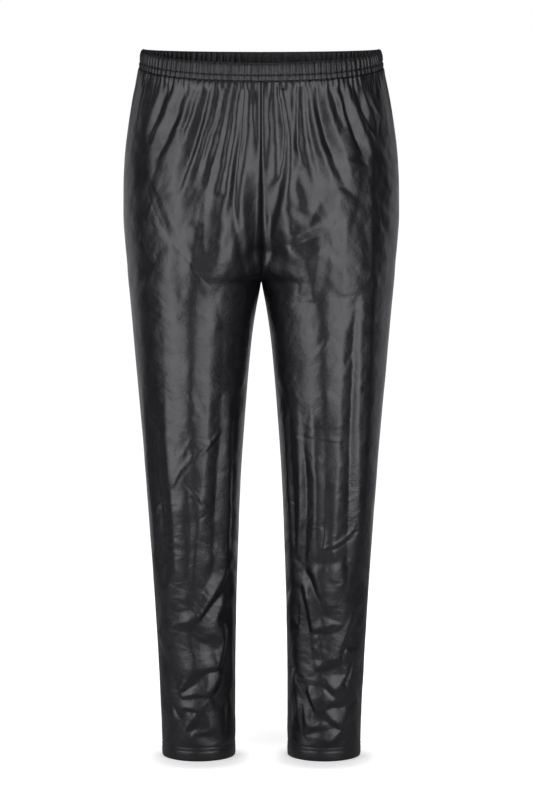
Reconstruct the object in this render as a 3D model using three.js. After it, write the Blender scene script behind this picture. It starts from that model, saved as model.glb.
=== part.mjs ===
import * as THREE from "three";

// Pull-on leather-look trousers, filled out and hollow. Sizes are in millimetres.
// +Z is up and the front faces -Y. Left and right are the wearer's, so the left leg is at +X.
// The origin is the middle of the waist, level with its top edge at the side seams.
// A drop is a distance down from that level. A turn runs round one quarter of the garment,
// from 0 at the side seam to 1 at the centre seam, or at the inseam below the crotch.
const SEAM_GAP = 0.3;
const WALL = 1.6;
const CROTCH_DROP = 320;
const LENGTH = 1000;
const CASING = { height: 24, elastic: 16, wall: 3.2, gathers: 29, gatherDepth: 1.3, groove: 0.7 };
const HEM = { height: 20, wall: 2.6, raise: 0.5 };
const WAIST_DIP = { front: 18.5, back: 4, levelDrop: 200 };
const FOLDS = { perQuarter: 14, columnsEach: 3, endDrop: 255 };
const SEAM_EASE = 11;
const MITRE_LIMIT = 3.2;

const table = (columns, rows) => {
  const names = columns.split(" ");
  return rows.map((row) => Object.fromEntries(names.map((name, i) => [name, row[i]])));
};

// Each section is made of quarter ellipses, front and back, that join on the seam line at y = seam
// and over the leg's middle. outer and inner are the outline's reach from the centre: inner is a
// leg's near side, and above the crotch it is where that side would end if it ran on past the centre.
const SECTIONS = table("drop outer inner middle front back seam", [
  [0, 165.5, -165.5, 0, 112, 108, 0],
  [24, 169.2, -169.2, 0, 113, 110, 0],
  [70, 178.4, -176.0, 2, 115, 119, 0],
  [105, 184.1, -175.0, 9, 116.5, 128, 0],
  [147, 189.2, -160.0, 23, 118, 136.5, 0],
  [188, 191.4, -138.0, 40, 118.5, 142, 0],
  [230, 191.7, -112.0, 58, 117.5, 143, 0],
  [272, 189.1, -66.0, 74, 113.5, 137.5, 0],
  [296, 186.9, -34.0, 83, 109.5, 131, 0],
  [309, 186.1, -15.0, 87.5, 107, 127, 0],
  [320, 185.2, 0.15, 91, 104.5, 123, 0],
  [336, 183.7, 3.6, 93.8, 101, 117.5, 0],
  [357, 181.7, 7.7, 95, 97, 111, -1],
  [399, 178.0, 14.0, 96, 89.5, 100, -4],
  [441, 174.4, 18.4, 96.3, 83, 91, -6],
  [505, 168.6, 23.6, 96, 75.5, 81, -9],
  [568, 163.4, 28.2, 95.8, 70, 73.5, -9],
  [633, 158.6, 31.8, 95.2, 66.5, 67.5, -6],
  [698, 154.4, 34.1, 94.2, 64, 63.5, 1],
  [764, 150.6, 36.2, 93.4, 61.5, 60.5, 8],
  [850, 145.8, 37.8, 91.8, 58, 58, 13],
  [937, 141.6, 38.5, 90, 54.5, 54.5, 14.5],
  [1000, 139.9, 38.7, 89.3, 53, 53, 15],
]);

// Folds fan out from the casing. at and to are turns at the top and at the fold's end,
// depth is the trough's depth at the top and drop says how far down the fold lasts.
const FRONT_RIGHT_FOLDS = table("at to depth drop", [
  [0.035, 0.04, 2.0, 120], [0.10, 0.08, 2.8, 150], [0.165, 0.115, 4.0, 175], [0.235, 0.16, 4.2, 205],
  [0.305, 0.25, 2.5, 140], [0.375, 0.29, 4.5, 225], [0.445, 0.40, 2.5, 110], [0.515, 0.42, 3.0, 235],
  [0.585, 0.50, 2.5, 230], [0.655, 0.56, 2.8, 235], [0.73, 0.66, 3.2, 250], [0.80, 0.75, 4.2, 255],
  [0.87, 0.84, 2.8, 180], [0.94, 0.935, 2.2, 150],
]);
const FRONT_LEFT_FOLDS = table("at to depth drop", [
  [0.035, 0.04, 2.2, 130], [0.10, 0.09, 3.5, 165], [0.17, 0.13, 4.0, 190], [0.24, 0.17, 2.5, 140],
  [0.31, 0.22, 4.8, 225], [0.38, 0.29, 2.5, 210], [0.45, 0.37, 2.2, 150], [0.52, 0.44, 2.5, 185],
  [0.59, 0.52, 4.8, 195], [0.66, 0.61, 2.2, 120], [0.73, 0.69, 2.8, 150], [0.80, 0.765, 4.0, 240],
  [0.87, 0.845, 3.5, 230], [0.94, 0.935, 2.2, 140],
]);
const QUARTER_FOLDS = {
  front_right: FRONT_RIGHT_FOLDS, front_left: FRONT_LEFT_FOLDS,
  back_right: FRONT_LEFT_FOLDS, back_left: FRONT_RIGHT_FOLDS,
};

// Creases and soft troughs on the legs. across is the place over a leg's width, from -1 on its
// inner outline to 1 on its outer one. width is a crease's half width; height is outwards.
const FRONT_RIGHT_CREASES = table("across drop across2 drop2 width height", [
  [0.50, 190, -0.10, 345, 11, -3.6], [0.62, 200, 0.05, 345, 12, 2.6], [-0.30, 300, -0.02, 290, 12, 2.9],
  [0.16, 320, 0.12, 540, 17, -3.1], [0.46, 300, 0.44, 600, 20, 1.9], [-0.55, 420, -0.30, 560, 17, 1.4],
  [-0.52, 537, -0.10, 580, 9, 3.1], [-0.05, 585, 0.30, 618, 9, 2.6], [0.34, 470, 0.10, 500, 9, -1.7],
  [0.20, 605, -0.22, 645, 10, 1.7], [0.24, 655, 0.20, 740, 10, -2.2], [-0.02, 700, -0.06, 760, 9, -3.5],
  [-0.56, 738, -0.20, 780, 9, 4.9], [-0.20, 780, 0.36, 811, 9, 4.6], [-0.25, 800, 0.10, 830, 11, -4.3],
  [0.60, 745, 0.10, 868, 9, -3.5], [0.78, 820, 0.36, 905, 9, 3.2], [0.40, 850, 0.10, 880, 12, 3.2],
  [-0.40, 873, 0.36, 902, 8, -5.2], [-0.46, 885, 0.24, 912, 9, 4.3], [-0.16, 915, 0.36, 918, 8, -4.1],
  [-0.04, 920, 0.26, 928, 8, 3.5], [-0.30, 945, 0.20, 966, 8, -3.5], [0.36, 700, 0.52, 860, 14, 2.0],
]);
const FRONT_LEFT_CREASES = table("across drop across2 drop2 width height", [
  [-0.36, 270, 0.02, 245, 11, 3.1], [-0.34, 285, -0.04, 262, 11, -2.9], [-0.04, 265, -0.42, 400, 12, 2.6],
  [0.08, 300, 0.05, 560, 18, -3.1], [0.50, 300, 0.46, 620, 20, 1.9], [-0.36, 330, -0.34, 560, 18, 1.7],
  [0.02, 400, -0.28, 432, 8, 2.4], [-0.45, 518, -0.10, 536, 9, 2.9], [-0.42, 537, -0.02, 546, 9, 3.1],
  [-0.30, 560, -0.16, 585, 9, -2.4], [-0.42, 575, -0.26, 625, 10, -2.2], [0.02, 700, 0.50, 675, 9, 4.6],
  [0.02, 712, 0.48, 695, 10, -3.2], [-0.34, 735, -0.02, 800, 9, -4.9], [-0.44, 730, -0.12, 780, 10, 3.2],
  [-0.48, 760, -0.16, 895, 9, -4.1], [0.00, 780, 0.20, 820, 9, -2.9], [-0.16, 812, 0.52, 806, 9, 4.1],
  [0.10, 832, 0.46, 822, 9, 3.5], [-0.10, 875, 0.30, 870, 9, -3.8], [-0.02, 892, 0.40, 893, 9, 3.8],
  [-0.26, 905, 0.06, 902, 8, -3.2], [0.10, 925, 0.44, 922, 9, -3.5], [0.02, 932, 0.34, 956, 8, 3.8],
  [-0.28, 944, 0.06, 942, 8, -3.8], [0.80, 770, 0.42, 905, 11, 2.6],
]);
const BACK_CREASES = table("across drop across2 drop2 width height", [
  [-0.62, 300, 0.20, 352, 12, -3.1], [-0.55, 318, 0.10, 372, 12, 2.6], [0.05, 330, 0.02, 560, 20, -2.4],
  [-0.45, 590, 0.45, 604, 10, -4.1], [-0.40, 607, 0.40, 624, 10, 3.1], [-0.48, 636, 0.30, 628, 9, -3.1],
  [-0.20, 652, 0.50, 662, 9, 2.4], [0.30, 690, 0.10, 760, 12, -2.2], [-0.40, 770, 0.30, 806, 9, 3.8],
  [-0.30, 822, 0.34, 840, 10, -4.3], [0.42, 850, -0.20, 880, 9, 3.8], [-0.40, 888, 0.24, 906, 8, -4.3],
  [0.30, 912, -0.30, 924, 8, 3.5], [-0.26, 940, 0.30, 952, 8, -3.8], [0.62, 800, 0.44, 930, 12, 2.6],
]);
const QUARTER_CREASES = {
  front_right: FRONT_RIGHT_CREASES, front_left: FRONT_LEFT_CREASES,
  back_right: BACK_CREASES,
  back_left: BACK_CREASES.map((row) => ({
    ...row, across: -row.across2, drop: row.drop + 6, across2: -row.across, drop2: row.drop2 + 6,
  })),
};

const FOLD_ROWS = [24.3, 46, 76, 112, 150, 190, 228];
const LEG_ROWS = [255, 278, 296, 309, 316, 320, 334, 358, 388, 418, 448, 478, 508, 536, 560, 586, 614,
  644, 674, 702, 728, 752, 774, 796, 816, 836, 856, 874, 891, 907, 922, 937, 952, 966, 978, 980.5, 1000];
const LEG_COLUMNS = FOLDS.perQuarter;

const clamp = (value, low, high) => Math.min(high, Math.max(low, value));
const ease = (value) => {
  const v = clamp(value, 0, 1);
  return v * v * (3 - 2 * v);
};

// Monotone cubic through a table's column, so the outline has no bumps between its rows.
function curve(rows, key) {
  const x = rows.map((row) => row.drop);
  const y = rows.map((row) => row[key]);
  const chord = x.slice(1).map((_, i) => (y[i + 1] - y[i]) / (x[i + 1] - x[i]));
  const slope = y.map((_, i) => {
    if (i === 0) return chord[0];
    if (i === y.length - 1) return chord[i - 1];
    if (chord[i - 1] * chord[i] <= 0) return 0;
    return (2 * chord[i - 1] * chord[i]) / (chord[i - 1] + chord[i]);
  });
  return (drop) => {
    const at = clamp(drop, x[0], x[x.length - 1]);
    let i = 0;
    while (i < x.length - 2 && at > x[i + 1]) i += 1;
    const span = x[i + 1] - x[i];
    const s = (at - x[i]) / span;
    const rise = y[i + 1] - y[i];
    return y[i] + span * slope[i] * s * (1 - s) * (1 - s) + rise * s * s * (3 - 2 * s)
      - span * slope[i + 1] * s * s * (1 - s);
  };
}

const PROFILE = Object.fromEntries(
  ["outer", "inner", "middle", "front", "back", "seam"].map((key) => [key, curve(SECTIONS, key)]));

function section(drop) {
  const ring = Object.fromEntries(Object.entries(PROFILE).map(([key, at]) => [key, at(drop)]));
  return { ...ring, half: (ring.outer - ring.inner) / 2 };
}

// The half width of the ellipse that holds a place x: the leg's outer one or its inner one.
const reach = (ring, x) => (x > ring.middle ? ring.outer - ring.middle : ring.middle - ring.inner);

// One quarter of the garment. side is 1 for left and -1 for right, face is -1 front, 1 back.
class Quarter {
  constructor(name) {
    this.name = name;
    this.face = name.startsWith("front") ? -1 : 1;
    this.side = name.endsWith("left") ? 1 : -1;
    this.folds = QUARTER_FOLDS[name];
    this.creases = QUARTER_CREASES[name];
  }

  depth(ring) {
    return this.face < 0 ? ring.front : ring.back;
  }

  // The angle round the section that a turn of 1 reaches: the centre seam, or the inseam.
  sweep(drop) {
    const ring = section(drop);
    return Math.acos(clamp((SEAM_GAP / 2 - ring.middle) / (ring.middle - ring.inner), -1, 1));
  }

  // The angle of a turn. The half next to the side seam widens slowly from hip to thigh, and the
  // other half takes up the quick change at the crotch.
  angleAt(turn, drop) {
    const mid = (Math.PI / 4) * (1 + ease((drop - 150) / 250));
    return turn < 0.5 ? 2 * turn * mid : mid + (2 * turn - 1) * (this.sweep(drop) - mid);
  }

  // The level of a drop, lowered in the middle of the front and back near the waist.
  level(angle, drop) {
    const dip = this.face < 0 ? WAIST_DIP.front : WAIST_DIP.back;
    const fade = 1 - ease((drop - CASING.height) / (WAIST_DIP.levelDrop - CASING.height));
    return -drop - dip * Math.sin(clamp(angle, 0, Math.PI / 2)) * fade;
  }

  // The plain surface point at a turn and drop, with its outward direction.
  base(turn, drop) {
    const ring = section(drop);
    const angle = this.angleAt(turn, drop);
    const width = Math.cos(angle) > 0 ? ring.outer - ring.middle : ring.middle - ring.inner;
    const x = ring.middle + width * Math.cos(angle);
    const y = this.depth(ring) * Math.sin(angle);
    const field = (d) => {
      const r = section(d);
      const depth = y + this.face * (ring.seam - r.seam);
      return ((x - r.middle) / reach(r, x)) ** 2 + (depth / this.depth(r)) ** 2;
    };
    const low = Math.max(drop - 1, 0);
    const high = Math.min(drop + 1, LENGTH);
    const normal = new THREE.Vector3(
      (2 * (x - ring.middle)) / width ** 2,
      (2 * y) / this.depth(ring) ** 2,
      -(field(high) - field(low)) / (high - low)).normalize();
    return {
      point: new THREE.Vector3(
        this.side * x, ring.seam + this.face * (y + SEAM_GAP / 2), this.level(angle, drop)),
      normal: new THREE.Vector3(this.side * normal.x, this.face * normal.y, normal.z),
      angle, ring,
    };
  }

  // How far in from the nearest lengthwise seam a point lies, eased so pieces meet smoothly there.
  seamFade(angle, sweep, ring) {
    const radius = (ring.half + this.depth(ring)) / 2;
    return ease((radius * Math.min(angle, sweep - angle)) / SEAM_EASE);
  }

  foldPlace(fold, drop) {
    const along = clamp((drop - CASING.height) / (FOLDS.endDrop - CASING.height), 0, 1);
    return fold.at + (fold.to - fold.at) * along;
  }

  foldHeight(turn, drop) {
    const spacing = 1 / FOLDS.perQuarter;
    let height = 0;
    for (const fold of this.folds) {
      const away = Math.abs(turn - this.foldPlace(fold, drop)) / spacing;
      const last = 1 - ease((drop - CASING.height) / (fold.drop - CASING.height));
      height -= fold.depth * last * Math.exp(-((away / 0.28) ** 2));
    }
    return height;
  }

  creaseHeight(base, drop) {
    const { ring, angle } = base;
    const across = Math.cos(angle);
    if (drop < 150) return 0;
    let height = 0;
    const here = ring.half * Math.asin(clamp(across, -1, 1));
    for (const crease of this.creases) {
      const from = { s: ring.half * Math.asin(crease.across), d: crease.drop };
      const to = { s: ring.half * Math.asin(crease.across2), d: crease.drop2 };
      const run = { s: to.s - from.s, d: to.d - from.d };
      const size = run.s ** 2 + run.d ** 2;
      const along = ((here - from.s) * run.s + (drop - from.d) * run.d) / size;
      const held = clamp(along, 0, 1);
      const gap = Math.hypot(here - from.s - held * run.s, drop - from.d - held * run.d);
      const taper = 0.35 + 0.65 * Math.sin(Math.PI * clamp(along, 0.02, 0.98));
      height += crease.height * taper * Math.exp(-((gap / crease.width) ** 2));
    }
    return height;
  }

  // A point on the panel's outer face, with its folds and creases.
  panelPoint(turn, drop) {
    const base = this.base(turn, drop);
    const fade = this.seamFade(base.angle, this.sweep(drop), base.ring);
    const hemFade = ease((LENGTH - HEM.height + 6 - drop) / 26);
    const raise = drop > LENGTH - HEM.height ? HEM.raise : 0;
    const height = (this.foldHeight(turn, drop) + this.creaseHeight(base, drop) * hemFade) * fade + raise;
    return { ...base, point: base.point.clone().addScaledVector(base.normal, height), edge: turn <= 0 || turn >= 1 };
  }
}

// The turns of a fold row's columns: each trough, and two columns on the crown beside it.
function foldTurns(quarter, drop) {
  const places = [0, ...quarter.folds.map((fold) => quarter.foldPlace(fold, drop)), 1];
  const turns = [0];
  for (let i = 1; i < places.length - 1; i += 1) {
    const next = i === places.length - 2 ? 1 : places[i + 1];
    if (i === 1) turns.push(places[1] * 0.5);
    turns.push(places[i]);
    if (i < places.length - 2) {
      turns.push(places[i] + (next - places[i]) * 0.34, places[i] + (next - places[i]) * 0.66);
    } else {
      turns.push(1);
    }
  }
  return turns;
}

// Closes a shell from its outer points, its inner points and the outer face's triangles.
function closeShell(outer, inner, triangles, loop) {
  const count = outer.length;
  const positions = [...outer, ...inner].flatMap((p) => [p.x, p.y, p.z]);
  const index = [];
  for (const [a, b, c] of triangles) index.push(a, b, c, a + count, c + count, b + count);
  loop.forEach((a, i) => {
    const b = loop[(i + 1) % loop.length];
    index.push(b, a, a + count, b, a + count, b + count);
  });
  const geometry = new THREE.BufferGeometry();
  geometry.setAttribute("position", new THREE.Float32BufferAttribute(positions, 3));
  geometry.setIndex(index);
  geometry.computeVertexNormals();
  return geometry;
}

// Outward vertex directions of an open mesh, the sum of its triangles' area vectors.
function meshNormals(points, triangles) {
  const normals = points.map(() => new THREE.Vector3());
  for (const [a, b, c] of triangles) {
    const area = points[b].clone().sub(points[a]).cross(points[c].clone().sub(points[a]));
    [a, b, c].forEach((i) => normals[i].add(area));
  }
  return normals.map((n) => n.normalize());
}

// The inward step at a seam: it stays in the seam's plane and keeps the wall's thickness.
function seamStep(quarter, vertex, wall) {
  const step = vertex.normal.clone();
  const centreSeam = vertex.turn >= 1 && vertex.drop < CROTCH_DROP;
  if (centreSeam) step.x = 0;
  else step.y = 0;
  const kept = Math.max(step.length(), 1 / MITRE_LIMIT);
  return step.normalize().multiplyScalar(-wall / kept);
}

function panelGeometry(quarter) {
  const vertices = [];
  const add = (turn, drop) => vertices.push({ ...quarter.panelPoint(turn, drop), turn, drop }) - 1;
  const upper = FOLD_ROWS.map((drop) => foldTurns(quarter, drop).map((turn) => add(turn, drop)));
  const lower = LEG_ROWS.map((drop) => Array.from(
    { length: LEG_COLUMNS + 1 }, (_, i) => add(i / LEG_COLUMNS, drop)));
  const triangles = [];
  const flip = quarter.side * quarter.face > 0;
  const face = (a, b, c) => triangles.push(flip ? [a, c, b] : [a, b, c]);
  const strip = (top, low) => {
    for (let i = 0; i < top.length - 1; i += 1) {
      face(top[i], top[i + 1], low[i]);
      face(top[i + 1], low[i + 1], low[i]);
    }
  };
  upper.slice(1).forEach((row, i) => strip(upper[i], row));
  lower.slice(1).forEach((row, i) => strip(lower[i], row));
  const fine = upper[upper.length - 1];
  const coarse = lower[0];
  let placed = 0;
  for (let i = 0; i < fine.length - 1; i += 1) {
    const wanted = Math.round(((i + 1) * (coarse.length - 1)) / (fine.length - 1));
    face(fine[i], fine[i + 1], coarse[placed]);
    while (placed < wanted) {
      face(fine[i + 1], coarse[placed + 1], coarse[placed]);
      placed += 1;
    }
  }
  const outer = vertices.map((v) => v.point);
  const normals = meshNormals(outer, triangles);
  const inner = vertices.map((v, i) => {
    const wall = v.drop > LENGTH - HEM.height ? HEM.wall : WALL;
    if (v.edge) return v.point.clone().add(seamStep(quarter, v, wall));
    const step = normals[i].clone();
    if (v.drop === FOLD_ROWS[0] || v.drop === LENGTH) step.setZ(0).normalize();
    return v.point.clone().addScaledVector(step, -wall);
  });
  for (const row of [upper[0], lower[lower.length - 1]]) {
    row.forEach((i) => inner[i].setZ(outer[i].z));
  }
  const rows = [...upper, ...lower];
  const loop = [
    ...rows[0], ...rows.slice(1).map((row) => row[row.length - 1]),
    ...rows[rows.length - 1].slice(0, -1).reverse(), ...rows.slice(1, -1).map((row) => row[0]).reverse(),
  ];
  return closeShell(outer, inner, triangles, flip ? loop.reverse() : loop);
}

// The waist casing, a turned-down double layer over elastic: gathered outside, plain inside.
const CASING_ROWS = table("drop out", [
  [0, -1.1], [2.6, 0], [13.5, 0.2], [16, -1], [18.5, 0.1], [24, -0.4],
]);

function casingGeometry(quarter) {
  const columns = CASING.gathers * 2;
  const points = [];
  const outer = CASING_ROWS.map(({ drop, out }) => Array.from({ length: columns + 1 }, (_, i) => {
    const base = quarter.base(i / columns, drop);
    const fade = i === 0 || i === columns ? 0 : 1;
    const gather = (i % 2 ? 0.5 : -0.5) * CASING.gatherDepth * fade * (drop === 0 ? 0.6 : 1);
    const flat = base.normal.clone();
    flat.z = 0;
    if (i === columns) flat.x = 0;
    if (i === 0) flat.y = 0;
    return points.push(base.point.clone().addScaledVector(flat.normalize(), out + gather)) - 1;
  }));
  const inside = [CASING_ROWS[0], CASING_ROWS[CASING_ROWS.length - 1]].map(({ drop }) => Array.from(
    { length: columns + 1 }, (_, i) => {
      const base = quarter.base(i / columns, drop);
      const flat = base.normal.clone();
      flat.z = 0;
      if (i === columns) flat.x = 0;
      if (i === 0) flat.y = 0;
      return points.push(base.point.clone().addScaledVector(flat.normalize(), -CASING.wall)) - 1;
    }));
  const index = [];
  const flip = quarter.side * quarter.face > 0;
  const face = (a, b, c) => index.push(...(flip ? [a, c, b] : [a, b, c]));
  const strip = (top, low) => {
    for (let i = 0; i < columns; i += 1) {
      face(top[i], top[i + 1], low[i]);
      face(top[i + 1], low[i + 1], low[i]);
    }
  };
  outer.slice(1).forEach((row, i) => strip(outer[i], row));
  const last = outer[outer.length - 1];
  strip(last, inside[1]);
  strip(inside[1], inside[0]);
  strip(inside[0], outer[0]);
  // Each end face is a fan from the inner top as far as the groove, then one from the inner foot.
  const split = CASING_ROWS.findIndex(({ drop }) => drop === CASING.elastic);
  for (const i of [0, columns]) {
    const ring = outer.map((row) => row[i]);
    const [top, foot] = inside.map((row) => row[i]);
    const fans = ring.slice(1).map((point, j) => [j < split ? top : foot, ring[j], point]);
    for (const [p, q, r] of [...fans, [top, ring[split], foot]]) {
      if (i === 0) face(p, q, r);
      else face(p, r, q);
    }
  }
  const geometry = new THREE.BufferGeometry();
  geometry.setAttribute("position", new THREE.Float32BufferAttribute(points.flatMap((p) => [p.x, p.y, p.z]), 3));
  geometry.setIndex(index);
  geometry.computeVertexNormals();
  return geometry;
}

const COATED = new THREE.MeshStandardMaterial({ name: "coated_leather", color: "#2a2a2d", roughness: 0.36, metalness: 0 });
const CASING_COATED = new THREE.MeshStandardMaterial({ name: "casing_leather", color: "#262629", roughness: 0.42, metalness: 0 });

const trousers = new THREE.Group();
trousers.name = "trousers";
for (const name of ["front_left", "front_right", "back_left", "back_right"]) {
  const quarter = new Quarter(name);
  const panel = new THREE.Mesh(panelGeometry(quarter), COATED);
  panel.name = `leg_${name}`;
  const casing = new THREE.Mesh(casingGeometry(quarter), CASING_COATED);
  casing.name = `casing_${name}`;
  trousers.add(panel, casing);
}

export default trousers;
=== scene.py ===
"""Pull-on leather-look trousers, filled out and empty: dressed panels, waist casing and stitching."""
import logging
import math
from dataclasses import dataclass
from enum import Enum
from functools import cached_property

import bpy
import numpy as np
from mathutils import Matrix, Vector
from mathutils.geometry import delaunay_2d_cdt


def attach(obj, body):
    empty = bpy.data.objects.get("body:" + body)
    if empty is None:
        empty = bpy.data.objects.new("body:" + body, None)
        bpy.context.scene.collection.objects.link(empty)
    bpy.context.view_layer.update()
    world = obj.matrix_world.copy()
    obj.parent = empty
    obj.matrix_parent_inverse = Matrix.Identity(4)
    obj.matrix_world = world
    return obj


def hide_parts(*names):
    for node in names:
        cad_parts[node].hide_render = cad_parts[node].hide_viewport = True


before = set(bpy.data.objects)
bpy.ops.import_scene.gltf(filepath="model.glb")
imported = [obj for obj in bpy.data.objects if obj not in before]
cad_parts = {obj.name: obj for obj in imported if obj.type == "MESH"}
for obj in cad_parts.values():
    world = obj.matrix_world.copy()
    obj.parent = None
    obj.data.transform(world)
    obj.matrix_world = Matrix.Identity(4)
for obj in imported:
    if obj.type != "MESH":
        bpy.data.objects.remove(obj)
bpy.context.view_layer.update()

LOG = logging.getLogger("trousers")
WHITE = (1.0, 1.0, 1.0, 1.0)
MM = 0.001
TINY = 1e-6

# Sizes of the garment, in millimetres. A drop is a distance down from the waist edge.
SEAM_GAP = 0.3
LENGTH = 1000.0
CASING_HEIGHT = 24.0
HEM_HEIGHT = 20.0
CROTCH_DROP = 320.0
CASING_STITCHES = (16.0, 22.6)
HEM_STITCHES = (981.3, 986.0)

# How far a crumple's grid goes past its sides, and what the dents at each ankle are drawn from.
GRID_MARGIN = 8
ANKLE_SEED_RIGHT = 1200
ANKLE_SEED_LEFT = 1461


class Face(Enum):
    """The front or the back of the garment, with the direction it faces along Y."""

    FRONT = -1
    BACK = 1


class Side(Enum):
    """The wearer's left or right, with its direction along X."""

    LEFT = 1
    RIGHT = -1


def ease(value: np.ndarray) -> np.ndarray:
    """Rise smoothly from 0 to 1 as the value does, flat outside that range."""
    held = np.clip(value, 0.0, 1.0)
    return held * held * (3 - 2 * held)


def linear_colour(text: str) -> tuple[float, float, float, float]:
    """Turn an sRGB hex colour into Blender's linear RGBA.

    Args:
        text: The colour, as #rrggbb.

    Returns:
        Red, green, blue and an alpha of 1.
    """
    channels = [int(text[i:i + 2], 16) / 255 for i in (1, 3, 5)]
    linear = [c / 12.92 if c <= 0.04045 else ((c + 0.055) / 1.055) ** 2.4 for c in channels]
    return (*linear, 1.0)


def add_node(tree: bpy.types.NodeTree, kind: str, settings: dict | None = None,
             links: dict | None = None) -> bpy.types.Node:
    """Add one shader node.

    Args:
        tree: The node tree that gets the node.
        kind: The node's type name.
        settings: Values by input name, or by attribute name where no input has it.
        links: Output sockets by the input name that they go to.

    Returns:
        The new node.
    """
    node = tree.nodes.new(kind)
    for name, value in (settings or {}).items():
        if isinstance(name, str) and hasattr(node, name) and name not in node.inputs:
            setattr(node, name, value)
        else:
            node.inputs[name].default_value = value
    for name, socket in (links or {}).items():
        tree.links.new(socket, node.inputs[name])
    return node


@dataclass(frozen=True)
class Outline:
    """The garment's sections, each of quarter ellipses, as the solids have them."""

    rows: tuple[tuple[float, ...], ...] = (
        # drop, outer, inner, middle, front, back, seam
        (0, 165.5, -165.5, 0, 112, 108, 0),
        (24, 169.2, -169.2, 0, 113, 110, 0),
        (70, 178.4, -176.0, 2, 115, 119, 0),
        (105, 184.1, -175.0, 9, 116.5, 128, 0),
        (147, 189.2, -160.0, 23, 118, 136.5, 0),
        (188, 191.4, -138.0, 40, 118.5, 142, 0),
        (230, 191.7, -112.0, 58, 117.5, 143, 0),
        (272, 189.1, -66.0, 74, 113.5, 137.5, 0),
        (296, 186.9, -34.0, 83, 109.5, 131, 0),
        (309, 186.1, -15.0, 87.5, 107, 127, 0),
        (320, 185.2, 0.15, 91, 104.5, 123, 0),
        (336, 183.7, 3.6, 93.8, 101, 117.5, 0),
        (357, 181.7, 7.7, 95, 97, 111, -1),
        (399, 178.0, 14.0, 96, 89.5, 100, -4),
        (441, 174.4, 18.4, 96.3, 83, 91, -6),
        (505, 168.6, 23.6, 96, 75.5, 81, -9),
        (568, 163.4, 28.2, 95.8, 70, 73.5, -9),
        (633, 158.6, 31.8, 95.2, 66.5, 67.5, -6),
        (698, 154.4, 34.1, 94.2, 64, 63.5, 1),
        (764, 150.6, 36.2, 93.4, 61.5, 60.5, 8),
        (850, 145.8, 37.8, 91.8, 58, 58, 13),
        (937, 141.6, 38.5, 90, 54.5, 54.5, 14.5),
        (1000, 139.9, 38.7, 89.3, 53, 53, 15),
    )
    columns: tuple[str, ...] = ("drop", "outer", "inner", "middle", "front", "back", "seam")

    def value(self, key: str, drop: np.ndarray) -> np.ndarray:
        """Read a column at any drop, on a monotone cubic through its rows.

        Args:
            key: The column's name.
            drop: Distances down from the waist, in millimetres.

        Returns:
            The column's values there, in millimetres.
        """
        x = np.array([row[0] for row in self.rows])
        y = np.array([row[self.columns.index(key)] for row in self.rows])
        chord = np.diff(y) / np.diff(x)
        slope = np.zeros_like(y)
        slope[0], slope[-1] = chord[0], chord[-1]
        product = chord[:-1] * chord[1:]
        total = np.where(product > 0, chord[:-1] + chord[1:], 1.0)
        slope[1:-1] = np.where(product > 0, 2 * product / total, 0.0)
        at = np.clip(drop, x[0], x[-1])
        i = np.clip(np.searchsorted(x, at, side="left") - 1, 0, len(x) - 2)
        span = x[i + 1] - x[i]
        s = (at - x[i]) / span
        return (y[i] + span * slope[i] * s * (1 - s) ** 2 + (y[i + 1] - y[i]) * s * s * (3 - 2 * s)
                - span * slope[i + 1] * s * s * (1 - s))

    def ring(self, drop: np.ndarray) -> dict[str, np.ndarray]:
        """All of a section's sizes at the given drops."""
        return {key: self.value(key, drop) for key in self.columns[1:]}


@dataclass(frozen=True)
class Fold:
    """A crease in the cloth: a trough where height is below 0, a ridge where it is above."""

    width: float
    height: float
    path: tuple[tuple[float, float], ...]
    soft: float = 0.5
    # How fast it falls away beside its line, how fast it fades towards its ends, and what is left there.
    fall: float = 0.62
    taper: float = 4.0
    blunt: float = 0.25

    def lift(self, across: np.ndarray, drop: np.ndarray) -> np.ndarray:
        """How far the fold moves the cloth outwards.

        Args:
            across: Distances round from the leg's middle line, in millimetres.
            drop: Distances down from the waist, in millimetres.

        Returns:
            The outward move at each place, in millimetres.
        """
        points = np.array(self.path, dtype=float)
        legs = np.linalg.norm(np.diff(points, axis=0), axis=1)
        ends = np.concatenate([[0.0], np.cumsum(legs)])
        nearest = np.full(across.shape, 1e9)
        run = np.zeros(across.shape)
        for i, length in enumerate(legs):
            step = (points[i + 1] - points[i]) / length
            along = np.clip((across - points[i, 0]) * step[0] + (drop - points[i, 1]) * step[1], 0, length)
            gap = np.hypot(across - points[i, 0] - along * step[0], drop - points[i, 1] - along * step[1])
            closer = gap < nearest
            nearest = np.where(closer, gap, nearest)
            run = np.where(closer, ends[i] + along, run)
        share = run / ends[-1]
        taper = np.clip(np.minimum(share, 1 - share) * self.taper + self.blunt, 0, 1)
        crest = self.soft * self.width
        shape = np.exp(-(np.sqrt(nearest ** 2 + crest ** 2) - crest) / (self.fall * self.width))
        return self.height * ease(taper) * shape


def groove(drop: np.ndarray, at: float, depth: float, width: float) -> np.ndarray:
    """The depth of a groove that runs round at one drop, all in millimetres."""
    return depth * np.exp(-((drop - at) / width) ** 2)


def read_folds(text: str, soft: float) -> tuple[Fold, ...]:
    """Read folds from lines of width, height and places.

    Args:
        text: One fold a line: half width and height, a colon, then across,drop places, in millimetres.
        soft: How rounded the folds' own lines are, as a share of their width.

    Returns:
        The folds.
    """
    folds = []
    for line in text.strip().splitlines():
        sizes, places = line.split(":")
        width, height = map(float, sizes.split())
        path = tuple(tuple(map(float, place.split(","))) for place in places.split())
        folds.append(Fold(width, height, path, soft))
    return tuple(folds)


def mirrored(folds: tuple[Fold, ...], lower: float) -> tuple[Fold, ...]:
    """The folds turned over from side to side and moved down by lower millimetres."""
    return tuple(Fold(f.width, f.height, tuple((-a, d + lower) for a, d in f.path), f.soft) for f in folds)


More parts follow.
